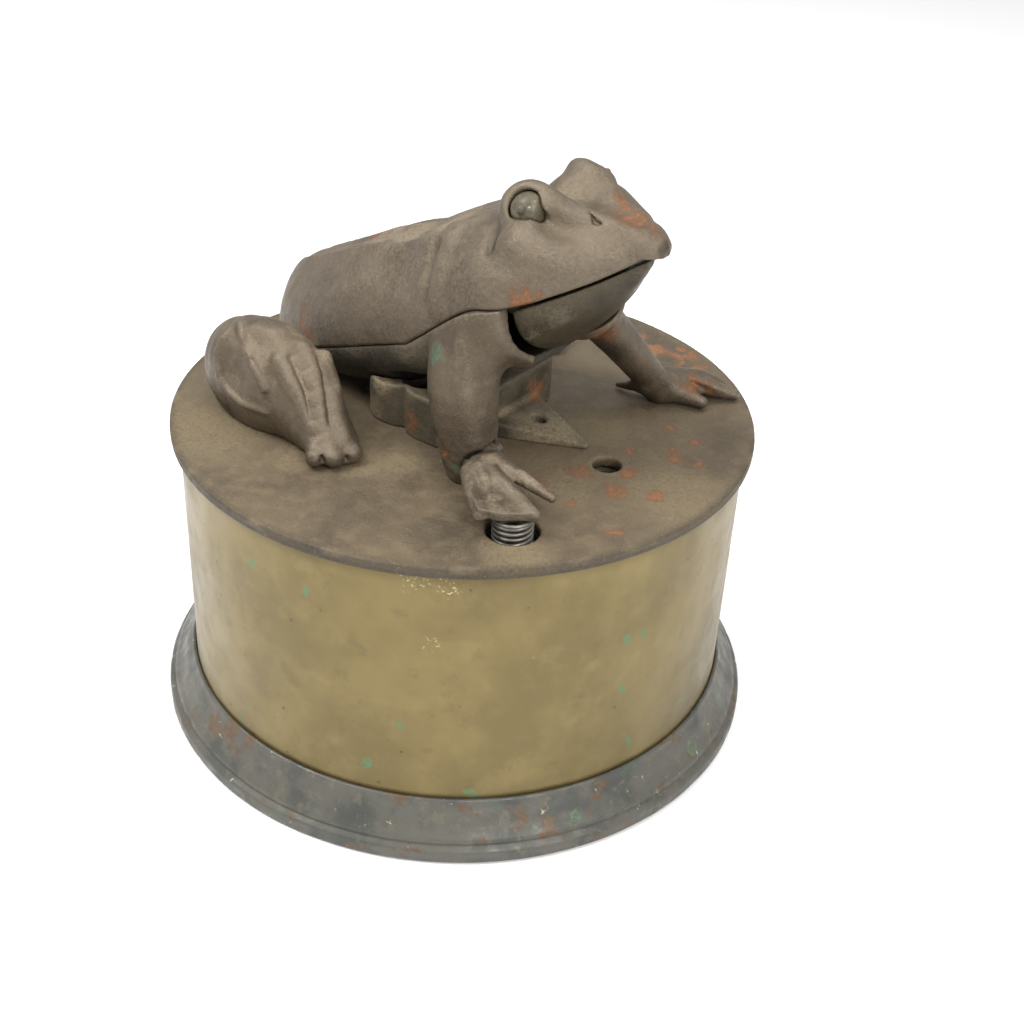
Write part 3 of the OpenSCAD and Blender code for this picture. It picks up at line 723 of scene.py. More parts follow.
def make_back():
    g = Block((-46.4, -22, 1), (43, 22, 54), 0.36)
    d, base = body_field(g)
    x, y, z = g.x, g.y, g.z
    ay = np.abs(y)
    xs = g.x[:, 0, 0]
    # a flat back between two side ridges, with a low crest along the middle
    lateral = np.interp(
        xs, [-44, -37, -25, -8, 0, 6, 12], [2, 5.2, 7.6, 9.6, 10.6, 9.4, 7.4],
    )[:, None, None]
    fade = np.clip((x + 44) / 8, 0, 1) * np.clip((12 - x) / 9, 0, 1)
    high = np.clip((z - base - 3) / 6, 0, 1)
    ridge = np.exp(-((ay - lateral) ** 2) / 1.5)
    crest = np.exp(-(y**2) / 1.8)
    second = np.exp(-((ay - lateral * 0.5) ** 2) / 1.6)
    carve = 0.85 - 0.85 * ridge - 0.75 * crest - 0.35 * second
    d = d + np.clip(carve, 0, 1) * high * fade * (ay < lateral + 0.2)
    d = d - 0.55 * ridge * high * fade
    under = np.exp(-((ay - lateral - 3.4) ** 2) / 5) * (ay > lateral)
    d = d + 0.75 * under * high * fade
    for side in (-1, 1):
        # fold in front of the flank, with the shoulder standing out before it
        fold = [
            (1.4, side * 12.4, 38.0), (2.7, side * 14.7, 36.2), (3.7, side * 16.9, 33.6),
            (4.2, side * 18.8, 30.0),
        ]
        d = smax(d, -line(g, fold, [0.5, 0.9, 0.9, 0.3]), 2.6)
        proud = [
            (5.0, side * 10.9, 39.6), (6.4, side * 13.4, 37.0), (7.8, side * 15.9, 33.6),
            (8.6, side * 17.2, 30),
        ]
        d = smin(d, line(g, proud, [1.3, 1.9, 2.1, 1.6]), 2.6)
        nape = [(4.0, side * 8.4, 40.4), (8, side * 7.4, 42.2), (12, side * 7, 44), (15, side * 7, 45.6)]
        d = smin(d, line(g, nape, [0.8, 1.0, 1.3, 1.6]), 2.2)
        # eye dome with a rolled brow
        d = smin(d, ball(g, (20.7, side * 7.3, 45.7), 5.9, (1.2, 1, 1)), 2.6)
        out = np.array([0.16, side * 0.82, 0.55])
        out /= np.linalg.norm(out)
        eye = np.array([EYE[0], side * EYE[1], EYE[2]])
        gx, gy, gz = x - eye[0] + 0.35, y - eye[1], z - eye[2] - 0.3
        along = gx * out[0] + gy * out[1] + gz * out[2]
        off = np.sqrt(np.maximum(gx**2 + gy**2 + gz**2 - along**2, 0))
        rim = np.sqrt((off - 3.8) ** 2 + (along + 0.25) ** 2) - 1.05
        d = smin(d, rim + np.clip(-0.2 * (gz - 1.5), 0, 1.0), 2.6)
        d = smax(d, -np.maximum(off - 2.85, -along), 0.7)
        ex, ey, ez = x - eye[0], y - eye[1], z - eye[2]
        d = np.maximum(d, -(np.sqrt(ex**2 + ey**2 + ez**2) - EYE_R - 0.25))
        # crease behind and below the eye
        notch = [(15.0, side * 12.9, 46.2), (16.2, side * 14.6, 44.0), (17.2, side * 15.9, 42.0)]
        d = smax(d, -line(g, notch, [0.3, 0.8, 0.3]), 1.8)
        # ridge from the eye to the nostril, and the hollow under it
        snout = [
            (23.4, side * 6.6, 48.2), (28, side * 4.6, 47.8), (33, side * 3.2, 47.0),
            (37.4, side * 2.0, 45.9),
        ]
        d = smin(d, line(g, snout, [2.0, 1.6, 1.4, 1.3]), 2.6)
        d = smax(d, -ball(g, (28.4, side * 11.8, 48.0), 3.0, (1.6, 1, 0.9)), 2.4)
        d = smin(d, line(g, [(22, side * 13.2, 43.4), (28, side * 11.4, 41.4)], [3.4, 3.0]), 3.0)
        nostril = [(29.2, side * 4.6, 48.7), (30.8, side * 5.2, 47.8), (32.0, side * 4.6, 47.6)]
        d = smax(d, -line(g, nostril, [0.2, 0.35, 0.2]), 0.9)
        d = smin(d, line(g, [(31.4, side * 5.6, 46.6), (33.2, side * 4.6, 46.7)], [0.6, 0.5]), 0.9)
    d = smin(d, ball(g, (38.9, 0, 44.6), 2.1, (1, 1.2, 1)), 2.6)
    # saddle between the eyes
    d = smax(d, -line(g, [(16, 0, 51.6), (24, 0, 52.0)], [2.6, 2.6]), 2.5)
    inner = d + 2.1
    d = np.maximum(smax(d, base - z, 0.5), -inner)
    # rust on the snout, over the corner of the mouth, along the back and above the haunch
    rust = [
        (35, 2, 48, 5), (30, 6, 48, 3), (26, -18, 37, 3), (-22, 2, 29, 5), (-16, 3, 32, 3),
        (-28, -15, 14, 3),
    ]
    rust += [(-34, 9, 22, 3)]
    dust = [
        (-10, -4, 34, 5), (0, -5, 40, 5), (-26, -16, 10, 3), (-2, 6, 38, 7), (20, 0, 50, 4),
        (-18, -2, 30, 5),
    ]
    # painted shade in the crease behind the right eye, and a darker spot at the snout's tip
    dark = [(17, -15.5, 43, 1), (42, 0, 44.5, 1.6)]
    cast("frog_back_casting", g, d, iron, "lid", ["frog_back"], masks(rust, dust, dark), 0.05, 0.05)


def make_belly():
    g = Block((-45, -21.5, -0.4), (26, 21.5, 38), 0.4)
    d, base = belly_field(g)
    inner = d + 1.9
    d = np.maximum(smax(d, g.z - base + 0.12, 0.4), -inner)
    d = smax(d, -jaw_room(g), 0.4)
    d = np.maximum(d, np.maximum(-42.5 - g.x, g.x - 19.6))
    slot_d = np.maximum(np.abs(g.x + 1.5) - 4.6, np.abs(g.y) - 15)
    d = np.maximum(d, -np.maximum(slot_d, g.z - 12))
    d = np.maximum(d, -(rod(g, (15, -19.6, 7.2), (15.6, -15, 32.3), 1.9)))
    d = np.maximum(d, 0.1 - g.z)
    # painted shade under the belly, near the lid
    dark = [(-15, -15, 8, 7), (-10, -14, 6, 6), (-4, -15, 9, 5)]
    dust = [(2, -18, 19.5, 5), (-14, -16.5, 14, 3)]
    cast(
        "frog_belly_casting", g, d, iron_belly_painted_shade, "lid", ["frog_belly"],
        masks((), dust, dark), 0.05, 0.04,
    )


def make_jaw():
    g = Block((21.6, -18.6, 18.6), (40.2, 18.6, 43.6), 0.3)
    x = g.x[:, 0, 0]
    w = curve(JAW, 1, x)[:, None, None]
    top = (mouth(x) - 0.6)[:, None, None].astype(np.float32)
    low = np.minimum(curve(JAW, 2, x)[:, None, None], top - 0.6)
    d = levelled(g, section(g, w, top, low, 2.1))
    d = np.maximum(d, g.x - 39.2)
    inner = d + 1.9
    d = smax(d, g.z - top, 0.4)
    d = smax(d, 23.1 + 0.15 * (34 - g.z) - g.x, 0.5)
    d = np.maximum(d, -np.maximum(inner, g.x - 32))
    # painted shade under the jaw's rear and in the gap beside the right front leg
    dark = [(25, -9, 22.2, 4), (24.6, 0, 21.5, 5), (25, 8, 22.4, 4), (24.4, -15, 26, 2)]
    dust = [(30, -13, 33, 2.4), (26.6, -16.4, 28, 2.0)]
    cast(
        "lower_jaw_casting", g, d, iron_smooth, "jaw", ["lower_jaw"],
        masks((), dust, dark), 0.03, 0.02,
    )


# ---- legs ----

HIND = [
    [0, -37.6, -27.4, 6, 1.2, 2.5],
    [1, -35.6, -28, 7, 5, 7],
    [2, -31, -28.6, 7.8, 7.2, 10.6],
    [3, -24, -28.6, 8, 8.2, 12],
    [4, -17, -28.6, 7, 7.2, 9.6],
    [5, -11, -30, 4.5, 5.8, 6.6],
    [6, -5, -31.8, 2.8, 4.8, 3.2],
    [7, -2.2, -32.2, 2, 3.4, 2],
]


def make_hind(name, side):
    m = side
    g = Block((-41, -39.8 if m > 0 else 13, -0.3), (1.8, -13 if m > 0 else 39.8, 21.8), 0.32)
    body, _ = belly_field(g, 0.0)
    back, base = body_field(g)
    body = np.where(g.z > base, back, body)

    def at(points):
        return [(p[0], m * p[1], p[2]) for p in points]

    d = limb(g, [[s[0], s[1], m * s[2], *s[3:]] for s in HIND], (0, 0, 1))
    toes = [(-5.0, -36.9, 2.0), (-2.3, -35.0, 2.3), (-1.1, -31.0, 1.9)]
    for toe in toes:
        d = smin(d, rod(g, at([(-8.6, -31.6, 3.4)])[0], at([toe])[0], 2.0, 1.75), 1.1)
    for a in [[(-8.2, -34.0, 5.0), (-3.2, -36.7, 2.0)], [(-7.0, -31.6, 5.4), (-0.6, -33.3, 1.8)]]:
        d = smax(d, -line(g, at(a), [0.1, 0.4]), 1.0)
    outer = [
        (-29.5, -30.4, 18.8), (-31.0, -33.6, 16.2), (-31.6, -35.1, 12.9), (-30, -36.3, 9.6),
        (-27.2, -37, 7.7), (-23.3, -37, 6.4), (-18.1, -35.9, 6),
    ]
    d = smin(d, line(g, at(outer), [0.7, 0.8, 0.8, 0.75, 0.7, 0.6, 0.3]), 1.1)
    second = [
        (-28.6, -31.2, 19.0), (-26.2, -33.6, 17.8), (-22.9, -35.2, 16), (-20.4, -35.8, 13.6),
        (-18.2, -36, 10.8),
    ]
    d = smin(d, line(g, at(second), [0.8, 0.8, 0.7, 0.6, 0.3]), 1.3)
    d = smax(d, -ball(g, at([(-21.6, -35.4, 19.8)])[0], 3.6, (1.4, 1, 1)), 2.4)
    d = smax(d, -ball(g, at([(-26.2, -38.6, 12.4)])[0], 3.0, (1.2, 1, 1.4)), 2.0)
    d = smin(
        d,
        line(
            g,
            at([(-17.4, -32.2, 15.4), (-14, -33.2, 12.6), (-11, -33.4, 9.8), (-8.4, -34.2, 6.6)]),
            [1.3, 1.5, 1.3, 1.0],
        ),
        1.6,
    )
    d = smin(
        d,
        line(
            g,
            at([(-16.4, -27.4, 16.9), (-12.4, -28.8, 14.2), (-9.6, -30.6, 11.2), (-6.9, -32.6, 7.4)]),
            [1.0, 1.1, 1.0, 0.8],
        ),
        1.2,
    )
    d = smax(
        d,
        -line(g, at([(-15.6, -31.4, 16.4), (-11.0, -32.8, 11.6), (-8.0, -34.6, 7.8)]), [-0.4, -0.2, -0.4]),
        2.0,
    )
    d = smax(
        d,
        -line(g, at([(-13.0, -27.2, 15.2), (-8.6, -29.9, 11.2), (-5.4, -32.4, 6.9)]), [-0.4, -0.2, -0.4]),
        2.0,
    )
    d = smin(
        d,
        line(
            g,
            at([(-14, -24.6, 14.6), (-9.4, -26.9, 10.6), (-5.4, -30.2, 6.6), (-3.0, -31.2, 4.6)]),
            [1.4, 1.2, 1.0, 0.9],
        ),
        1.6,
    )
    knob = ball(g, at([(-34.6, -26.6, 13.8)])[0], 2.6)
    d = smin(d, knob, 1.6)
    d = smax(d, 0.02 - g.z, 0.5)
    d = smax(d, -body + 0.2, 0.5)

    def turned_over(places):
        return [(x, m * y, z, r) for x, y, z, r in places]

    dust = turned_over(
        [
            (-20, -24.6, 18.4, 3.0), (-14, -25.4, 15.4, 2.6), (-27, -24, 19, 3),
            (-10, -28, 11, 1.6), (-19, -22, 17, 4),
        ]
    )
    # painted shade where the hind leg meets the lid and under the body beside it
    dark = turned_over([(-30, -35, 2, 3), (-12, -22, 3, 5), (-6, -28, 1, 3)])
    places = masks([], dust, dark, (), 0.3)
    cast(name + "_casting", g, d, iron, "lid", [name], places, 0.045, 0.03)


def make_right_leg():
    g = Block((2, -28.6, -0.3), (26, -10, 36), 0.3)
    table = [
        [0, 17.4, -20.4, -0.6, 3.4, 3.0],
        [1, 17.2, -20.2, 4, 4.8, 4.9],
        [2, 16.4, -20, 10, 5.6, 5.8],
        [3, 15.4, -20, 17, 6.1, 6.5],
        [4, 14.8, -18.6, 23, 5.4, 7.0],
        [5, 15.4, -17.0, 28.6, 4.8, 7.0],
        [6, 16.8, -16.2, 34.6, 4.4, 6.6],
    ]
    core = limb(g, table, (1, 0, 0))
    front = [(16.2, -20.2, 32), (17.0, -22.2, 27), (19.0, -23.8, 19), (19.9, -22.8, 10), (19.8, -21.6, 5)]
    d = smin(core, line(g, front, [0.6, 1.4, 1.7, 1.6, 1.4]), 2.4)
    d = smin(d, line(g, [(12.4, -23.2, 13), (13.4, -23.4, 8), (15.2, -23.8, 4.6)], [1.0, 0.9, 0.8]), 1.0)
    d = smax(d, -line(g, [(14.4, -25.8, 10), (15.2, -25.5, 7), (16.6, -25.2, 4.6)], [0.2, 0.5, 0.3]), 0.7)
    d = smin(d, line(g, [(16.8, -23.2, 4.6), (18.4, -23.8, 2.8)], [1.2, 0.9]), 0.9)
    belly, base = belly_field(g, 0.2)
    d = smin(d, belly + 0.2, 4.0)
    d = np.maximum(d, core - 5.5)
    d = smax(d, g.x - 22.6 - 0.15 * (34 - g.z), 0.6)
    d = np.maximum(d, -(belly + 1.9))
    d = smax(d, g.z - base + 0.15, 0.4)
    d = smax(d, -ball(g, (23.5, -24, 4.2), 4.3), 0.4)
    hub = np.sqrt((g.x - 20.5) ** 2 + (g.z - 5) ** 2)
    d = np.maximum(d, -np.maximum(hub - 3.1, np.abs(g.y + 20) - 2.1))
    d = np.maximum(d, -np.maximum(np.maximum(np.abs(g.x - 17) - 7, np.abs(g.y + 20) - 1.9), g.z - 8.4))
    d = np.maximum(d, -rod(g, (15, -19.6, 7.2), (15.6, -15, 32.3), 1.8))
    d = smax(d, -jaw_sweep(g), 0.4)
    d = smax(d, 0.02 - g.z, 0.4)
    rust = [(16, -25, 6, 1)]
    green = [(12, -23, 24, 2), (18, -25, 4, 1)]
    # painted shade in the groove low on the leg and at its foot by the lid
    dark = [(13, -24.8, 9, 1.0), (14, -25, 3, 1.4)]
    places = masks(rust, [], dark, green, 0.25)
    cast("right_front_leg_casting", g, d, iron, "lid", ["right_front_leg"], places, 0.045, 0.03)


def make_left_leg():
    g = Block((8, 5, -0.3), (42, 45.5, 34), 0.32)
    table = [
        [0, 17.8, 10.8, 25.5, 4.4, 5.0],
        [1, 21.2, 14.2, 20, 4.0, 4.6],
        [2, 23.6, 19.2, 13.6, 3.4, 3.9],
        [3, 25.4, 24.4, 7.4, 3.2, 3.5],
        [4, 27.0, 28.2, 2.4, 3.0, 3.2],
    ]
    core = limb(g, table, (1, 0, 0))
    # a thin ridge down the front, running into the foot
    shin = [(22.4, 15.6, 22), (26.4, 21.2, 13.6), (28.0, 25.2, 7.6), (30.4, 28.2, 3.8)]
    d = smin(core, line(g, shin, [0.9, 0.9, 0.8, 0.8]), 1.5)
    toes = [
        [(27.6, 28.0, 2.6), (32.0, 29.6, 2.2), (35.8, 30.5, 1.5)],
        [(28.4, 29.6, 3.6), (33.8, 34.4, 3.0), (38.6, 38.2, 1.3)],
        [(27.6, 30.6, 4.2), (31.6, 36.4, 3.2), (34.6, 39.6, 1.6)],
    ]
    for t in toes:
        d = smin(d, line(g, t, [2.2, 1.8, 1.2]), 1.8)
    d = smin(d, line(g, [(26, 25.4, 4.4), (21.6, 25.9, 2.0), (18.4, 26.3, 0.9)], [1.5, 1.0, 0.5]), 2.4)
    d = smax(d, -line(g, [(32.4, 31.6, 4.4), (37.6, 34.2, 1.6)], [0.3, 0.9]), 0.8)
    belly, base = belly_field(g, 0.2)
    high = g.z > 12
    blend = np.maximum(smin(d, belly + 0.2, 2.6), core - 2.4)
    d = np.where(high, blend, d)
    d = np.maximum(d, -(belly + 1.9))
    d = smax(d, g.z - base + 0.15, 0.4)
    d = smax(d, -jaw_room(g), 0.4)
    d = smax(d, 0.02 - g.z, 0.4)
    rust = [(23, 10, 20, 4), (32, 31, 4, 2.5), (35, 35, 3, 2)]
    # painted shade on the leg's inner side towards the belly and under it by the lid
    dark = [(22, 14, 15, 4), (24.0, 21, 6, 3.6), (24, 25, 1, 4)]
    places = masks(rust, [], dark, [], 0.3)
    cast("left_front_leg_casting", g, d, iron, "lid", ["left_front_leg"], places, 0.045, 0.03)


def fan(g, points, height, slope, thick):
    """A thin sloping web inside a convex outline given anticlockwise."""
    d = g.full(-50)
    for (x0, y0), (x1, y1) in zip(points, points[1:] + points[:1]):
        ln = math.hypot(x1 - x0, y1 - y0)
        d = np.maximum(d, ((g.x - x0) * (y1 - y0) - (g.y - y0) * (x1 - x0)) / ln)
    drop = height - slope * np.sqrt((g.x - points[0][0]) ** 2 + (g.y - points[0][1]) ** 2)
    return np.maximum(d, np.abs(g.z - drop) - thick)


def make_foot():
    g = Block((18.6, -36, 0.4), (41.2, -16.6, 9.9), 0.24)
    d = ball(g, (24.0, -24.2, 4.7), 3.6)
    d = smin(d, ball(g, (23.8, -21.4, 4.9), 2.9), 1.6)
    web = fan(
        g,
        [(22.8, -25.2), (27.6, -32.2), (31.4, -35.0), (34.9, -33.2), (39.0, -29.0), (30.6, -24.6)],
        6.5, 0.14, 0.8,
    )
    d = smin(d, web, 1.4)
    rays = [
        ([(22.8, -26.6, 5.4), (27.2, -31.4, 4.8), (31.2, -34.6, 3.7)], [1.8, 1.4, 0.9]),
        ([(24.8, -26.2, 7.3), (29.2, -29.8, 6.5), (33.8, -32.6, 4.6)], [1.1, 0.75, 0.6]),
        ([(25.8, -25.2, 6.8), (32.0, -26.9, 5.9), (38.9, -28.8, 4.6)], [1.3, 1.0, 0.9]),
    ]
    for run, radii in rays:
        d = smin(d, line(g, run, radii), 1.2)
    d = smin(
        d, line(g, [(25.2, -22.6, 6.8), (31.2, -22.9, 6.2), (38.0, -22.9, 4.8)], [1.6, 1.35, 0.8]),
        0.9,
    )
    d = smax(d, -line(g, [(28.4, -24.3, 8.4), (33, -25.0, 7.6), (38.6, -25.4, 6.4)], [0.4, 0.9, 1.0]), 0.9)
    d = smax(d, -ball(g, (29.6, -31.0, 7.9), 1.9, (1.5, 1.2, 1)), 1.2)
    d = smax(d, -ball(g, (33.0, -29.0, 8.1), 2.1, (1.7, 1, 1)), 1.2)
    d = np.maximum(
        d,
        -np.maximum(np.maximum(np.abs(g.x - 16.3) - 6.3, np.abs(g.y + 20.0) - 1.7), np.abs(g.z - 5) - 6),
    )
    d = smax(d, -np.maximum(np.sqrt((g.x - 34.6) ** 2 + (g.y + 29.2) ** 2) - 4.4, g.z - 3.2), 0.3)
    d = smax(
        d, -np.maximum(np.sqrt((g.x - 20.5) ** 2 + (g.z - 5) ** 2) - 2.65, np.abs(g.y + 20) - 1.75),
        0.2,
    )
    d = smax(d, 20.9 - g.x, 0.3)
    d = smax(d, 1.0 - g.z, 0.4)
    # painted shade in the recess over the spring
    dark = [(35, -31, 3.0, 1.6)]
    dust = [(28.4, -28.4, 7.2, 1.2), (31.6, -30.6, 6.2, 1.2), (33, -23, 7.2, 2.4), (25, -24.5, 8, 1.6)]
    places = masks([], dust, dark, [], 0.2)
    cast(
        "right_front_foot_casting", g, d, iron, "foot_lever", ["right_front_foot"], places,
        0.04, 0.03, blur=0.9,
    )


def make_eyes():
    for side, name in ((-1, "right_eyeball"), (1, "left_eyeball")):
        y0, y1 = (-14, -6.6) if side < 0 else (6.6, 14)
        g = Block((15.6, y0, 44), (24.4, y1, 52.8), 0.16)
        d = ball(g, (20, side * 9.6, 48.4), EYE_R)
        d = np.maximum(d, 7.1 - g.y * side)
        d = smin(d, ball(g, (20.6, side * 12.7, 49.6), 1.5) + 0.85, 0.9)
        cast(name + "_ball", g, d, eye_mat, "eyes", [name], None, 0.03, 0.02, blur=0.6)


# ---- coin chute ----


def lobe(g, cx, half, reach, corner, dip):
    qx = np.maximum(np.abs(g.x - cx) - (half - corner), 0)
    qy = np.maximum(np.abs(g.y) - (reach - corner), 0)
    d = np.sqrt(qx**2 + qy**2) - corner
    top = 9.4 - dip * np.exp(-((g.x - cx + 1) ** 2) / 22)
    return smax(d, g.z - top, 0.6)


def make_chute():
    g = Block((-15, -18, -0.2), (30, 18, 10.6), 0.3)
    d = smin(lobe(g, -7, 7, 16.2, 6.4, 1.0), lobe(g, 3.6, 7.6, 17, 5.8, 0.0), 0.4)
    tongue = np.maximum(
        np.maximum(g.y - 9.0 + 0.34 * (g.x - 10), -(g.y + 7.4) + 0.50 * (g.x - 10)),
        np.maximum(g.x - 28.2, 9 - g.x),
    )
    tongue = smax(tongue, g.z - (3.4 - 0.135 * (g.x - 10)), 0.5)
    d = np.minimum(d, tongue)
    body, _ = belly_field(g, -0.3)
    d = np.maximum(d, -body)
    hole = np.sqrt(np.maximum(np.abs(g.y) - 10.3, 0) ** 2 + (g.x + 1.5) ** 2) - 4.2
    d = smax(d, -hole, 0.4)
    d = smax(d, -(np.sqrt(((g.x - 16.6) / 1.6) ** 2 + (g.y - 1.8) ** 2) - 1.0), 0.4)
    d = smax(d, 0.03 - g.z, 0.2)
    rust = [(0, -16, 3, 2.5), (11, 8, 5, 3)]
    dust = [(-8, -15, 8, 2.4), (20, 0, 2.4, 6), (-10, -16, 1, 3)]
    # painted shade low on the near lobe, under the tongue's edge, by its root and in the slot
    dark = [(-8, -14, 2, 2), (13, -6, 1, 3), (10, 3, 5, 3), (17, 2, 2, 1.5)]
    cast(
        "coin_chute_casting", g, d, chute_iron, "lid", ["coin_chute"],
        masks(rust, dust, dark, [], 0.3), 0.05, 0.03, blur=1.0,
    )


# ---- lid ----


def make_lid():
    g = Block((-58.2, -58.2, -6.8), (58.2, 58.2, 0.8), 0.34)
    x, y, z = g.x, g.y, g.z
    r = np.sqrt(x**2 + y**2)
    slab = smax(r - 57.0, np.abs(z + 1.1) - 1.1, 0.55)
    skirt = np.maximum(np.maximum(r - 53.8, 51.4 - r), np.abs(z + 3.2) - 3.0)
    d = np.minimum(slab, skirt)

    def bore(cx, cy, cr, soft=0.3, low=-50, high=50):
        h = np.maximum(np.sqrt((x - cx) ** 2 + (y - cy) ** 2) - cr, np.maximum(z - high, low - z))
        return smax(d, -h, soft)

    d = bore(SCREW_X, 0, 2.75)
    d = bore(*SPRING_AT, 4.8, 0.4)
    d = bore(*SPRING_AT, 9.2, 0.1, -50, -2.2)
    d = bore(-20, 0, 2.1)
    for sx, sy in ((-25, -28), (-25, 28), (28.5, 31.5)):
        d = bore(sx, sy, 1.56, 0.1)
    slot_d = np.sqrt(np.maximum(np.abs(y) - 10.5, 0) ** 2 + (x + 1.5) ** 2) - 4.0
    d = smax(d, -slot_d, 0.3)
    # the faint ring where a screw head sat
    worn_ring = np.abs(np.sqrt((x - SCREW_X) ** 2 + y**2) - 4.6)
    d = d + 0.05 * np.exp(-(worn_ring**2) / 0.3) * (z > -0.6)
    # rust spreads over the side by the left front foot and along the rim behind it
    rust = strewn(16, 3, (30, 53), (-25, 30), (0, 0), (0.8, 2.3))
    rust += strewn(6, 5, (48, 54), (60, 80), (0, 0), (2, 4))
    dust = [(-30, -40, 0, 11), (0, -30, 0, 6), (-10, -37, 0, 4), (28, -11, 0, 9), (40, -35, 0, 6)]
    dust += [(50, 0, 0, 9), (25, 10, 0, 7), (5, -25, 0, 5)]
    dark = [
        (10, -42, 0, 8), (25, -38, 0, 5), (45, 25, 0, 4), (20, 45, 0, 11), (0, 50, 0, 13),
        (15, 20, 0, 8),
    ]

    def lid_masks(p, nrm, cav):
        out = masks(rust, dust, [], (), 0.45, 3.0)(p, nrm)
        pale = masks((), (), dark, (), 0.5, 5.0)(p, nrm)["dark"] * 0.42
        rr = np.hypot(p[:, 0], p[:, 1])
        rim = np.clip((rr - 55.4) / 1.4, 0, 1) * np.clip((0.7 + noise(p, 4.0, 5)) / 0.6, 0, 1) * 0.75
        # painted shade on the lid's underside; the dark mask also holds darker patches and a darker outer
        # edge
        under = np.clip((-0.5 - p[:, 2]) / 0.8, 0, 1) * 0.95
        out["dark"] = np.clip(np.maximum(np.maximum(pale, rim), under), 0, 1)
        return out

    cast("lid_casting", g, d, lid_iron, "lid", ["lid_plate"], lid_masks, 0.035, 0.03, blur=0.9)


# ---- drum and ring ----


def low(z):
    """A height above the table, as a height from the lid."""
    return z - LID


def make_drum():
    top = low(61.2)
    r, w = 55.3, 0.9
    profile = [[r, low(3.4)], [r, top - 0.25], [r - 0.2, top], [r - w, top], [r - w, low(3.4)]]

    def relief(p, nrm):
        sway = 0.10 * clouds(p, 34, 5, 2) + 0.03 * clouds(p, 9, 9, 2)
        return sway * (np.abs(nrm[:, 2]) < 0.5)

    green = strewn(30, 8, (r, r), (-180, 180), (-54, -10), (0.6, 1.1))
    # the lacquer has flaked off under the lid's edge, a little to the right of the front
    pale = [(28, -48, -4, 2.4), (33, -44, -5, 2.2)]
    flecks = [(31, -46, -17, 1.6), (44, -33, -20, 0.7)]

    def drum_masks(p, nrm):
        q = p + 0.9 * np.stack([noise(p, 1.4, s) for s in (3, 4, 5)], 1)
        out = {"green": spots(q, green, 0.35), "pale": spots(q, pale + flecks, 0.6)}
        # painted shade: darker towards the top under the lid's overhang, and on the drum's inside
        shade = np.clip((p[:, 2] - low(58.4)) / 2.6, 0, 1) * 0.8
        inner = np.hypot(p[:, 0], p[:, 1]) < r - 0.5
        out["dark"] = np.maximum(shade, inner * 0.6)
        return out

    turned("drum_shell", profile, brass_mat, "base", ["drum"], drum_masks, 900, relief, 0.55)


def make_ring():
    R, B = 61.4, 47.0
    outer = [
        [B, low(0)],
        [R - 0.5, low(0)],
        [R, low(0.6)],
        [R, low(2.6)],
        [R - 0.35, low(3.15)],
        [R - 1.15, low(3.45)],
        [R - 1.35, low(3.75)],
        [R - 1.1, low(4.1)],
        [R - 1.6, low(4.75)],
        [R - 2.3, low(5.6)],
        [R - 3.2, low(6.9)],
        [R - 4.0, low(8.4)],
        [56.4, low(10)],
        [56.0, low(11)],
        [55.42, low(11)],
        [55.42, low(3.4)],
        [B, low(3.4)],
    ]

    def relief(p, nrm):
        chips = np.clip((clouds(p, 5.0, 61, 3) - 0.28) / 0.12, 0, 1) * 0.10
        return (
            0.05 * clouds(p, 2.2, 15) + 0.12 * clouds(p, 16, 25, 2) - chips
        ) * (np.hypot(p[:, 0], p[:, 1]) > 55.6) * (p[:, 2] > low(0.4))

    rust = strewn(20, 12, (57, 61), (-180, 180), (-60, -54), (1.2, 2.4))
    green = strewn(14, 14, (57, 61), (-180, 180), (-58, -54), (1.0, 1.8))

    def ring_masks(p, nrm):
        q = p + 2.2 * np.stack([clouds(p, 3.0, s) for s in (3, 4, 5)], 1)
        return {"rust": spots(q, rust, 0.5), "green": spots(q, green, 0.5)}

    turned(
        "foot_ring_moulding", outer, ring_mat, "base", ["foot_ring"], ring_masks, 900,
        relief, 0.5,
    )


def make_spring():
    wire, coil, turns = 0.36, 3.35, 11
    lo_z, hi_z = -7.75, 2.7
    steps = int(turns * 48 / FINE)
    side = 14
    t = np.linspace(0, 1, steps + 1)
    ang = 2 * np.pi * turns * t
    # the end coils are wound close
    rise = np.interp(t, [0, 0.09, 0.91, 1], [0, 0.045, 0.955, 1])
    z = lo_z + (hi_z - lo_z) * rise
    b = 2 * np.pi * np.arange(side) / side
    rr = coil + wire * np.cos(b)[None, :]
    pts = np.stack(
        [
            SPRING_AT[0] + rr * np.cos(ang)[:, None], SPRING_AT[1] + rr * np.sin(ang)[:, None],
            z[:, None] + wire * np.sin(b)[None, :],
        ],
        -1,
    ).reshape(-1, 3)
    i = np.arange(steps)[:, None]
    j = np.arange(side)[None, :]
    q = np.stack(
        [
            (i * side + j).ravel(), ((i + 1) * side + j).ravel(),
            ((i + 1) * side + (j + 1) % side).ravel(), (i * side + (j + 1) % side).ravel(),
        ],
        1,
    )
    # round the two cut ends with caps of quads
    caps = []
    for start in (0, steps * side):
        ring_ids = start + np.arange(side)
        for k in range(side // 2 - 1):
            quad = [ring_ids[k], ring_ids[k + 1], ring_ids[side - 2 - k], ring_ids[side - 1 - k]]
            caps.append(quad if start else quad[::-1])
    q = np.concatenate([q[:, ::-1], np.array(caps)])
    ob = new_object("foot_spring_coil", pts, q, spring_steel, {}, "lid", ["foot_spring"])
    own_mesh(ob)


make_back()
make_belly()
make_jaw()
make_hind("right_hind_leg", 1)
make_hind("left_hind_leg", -1)
make_right_leg()
make_left_leg()
make_foot()
make_eyes()
make_chute()
make_lid()
make_drum()
make_ring()
make_spring()

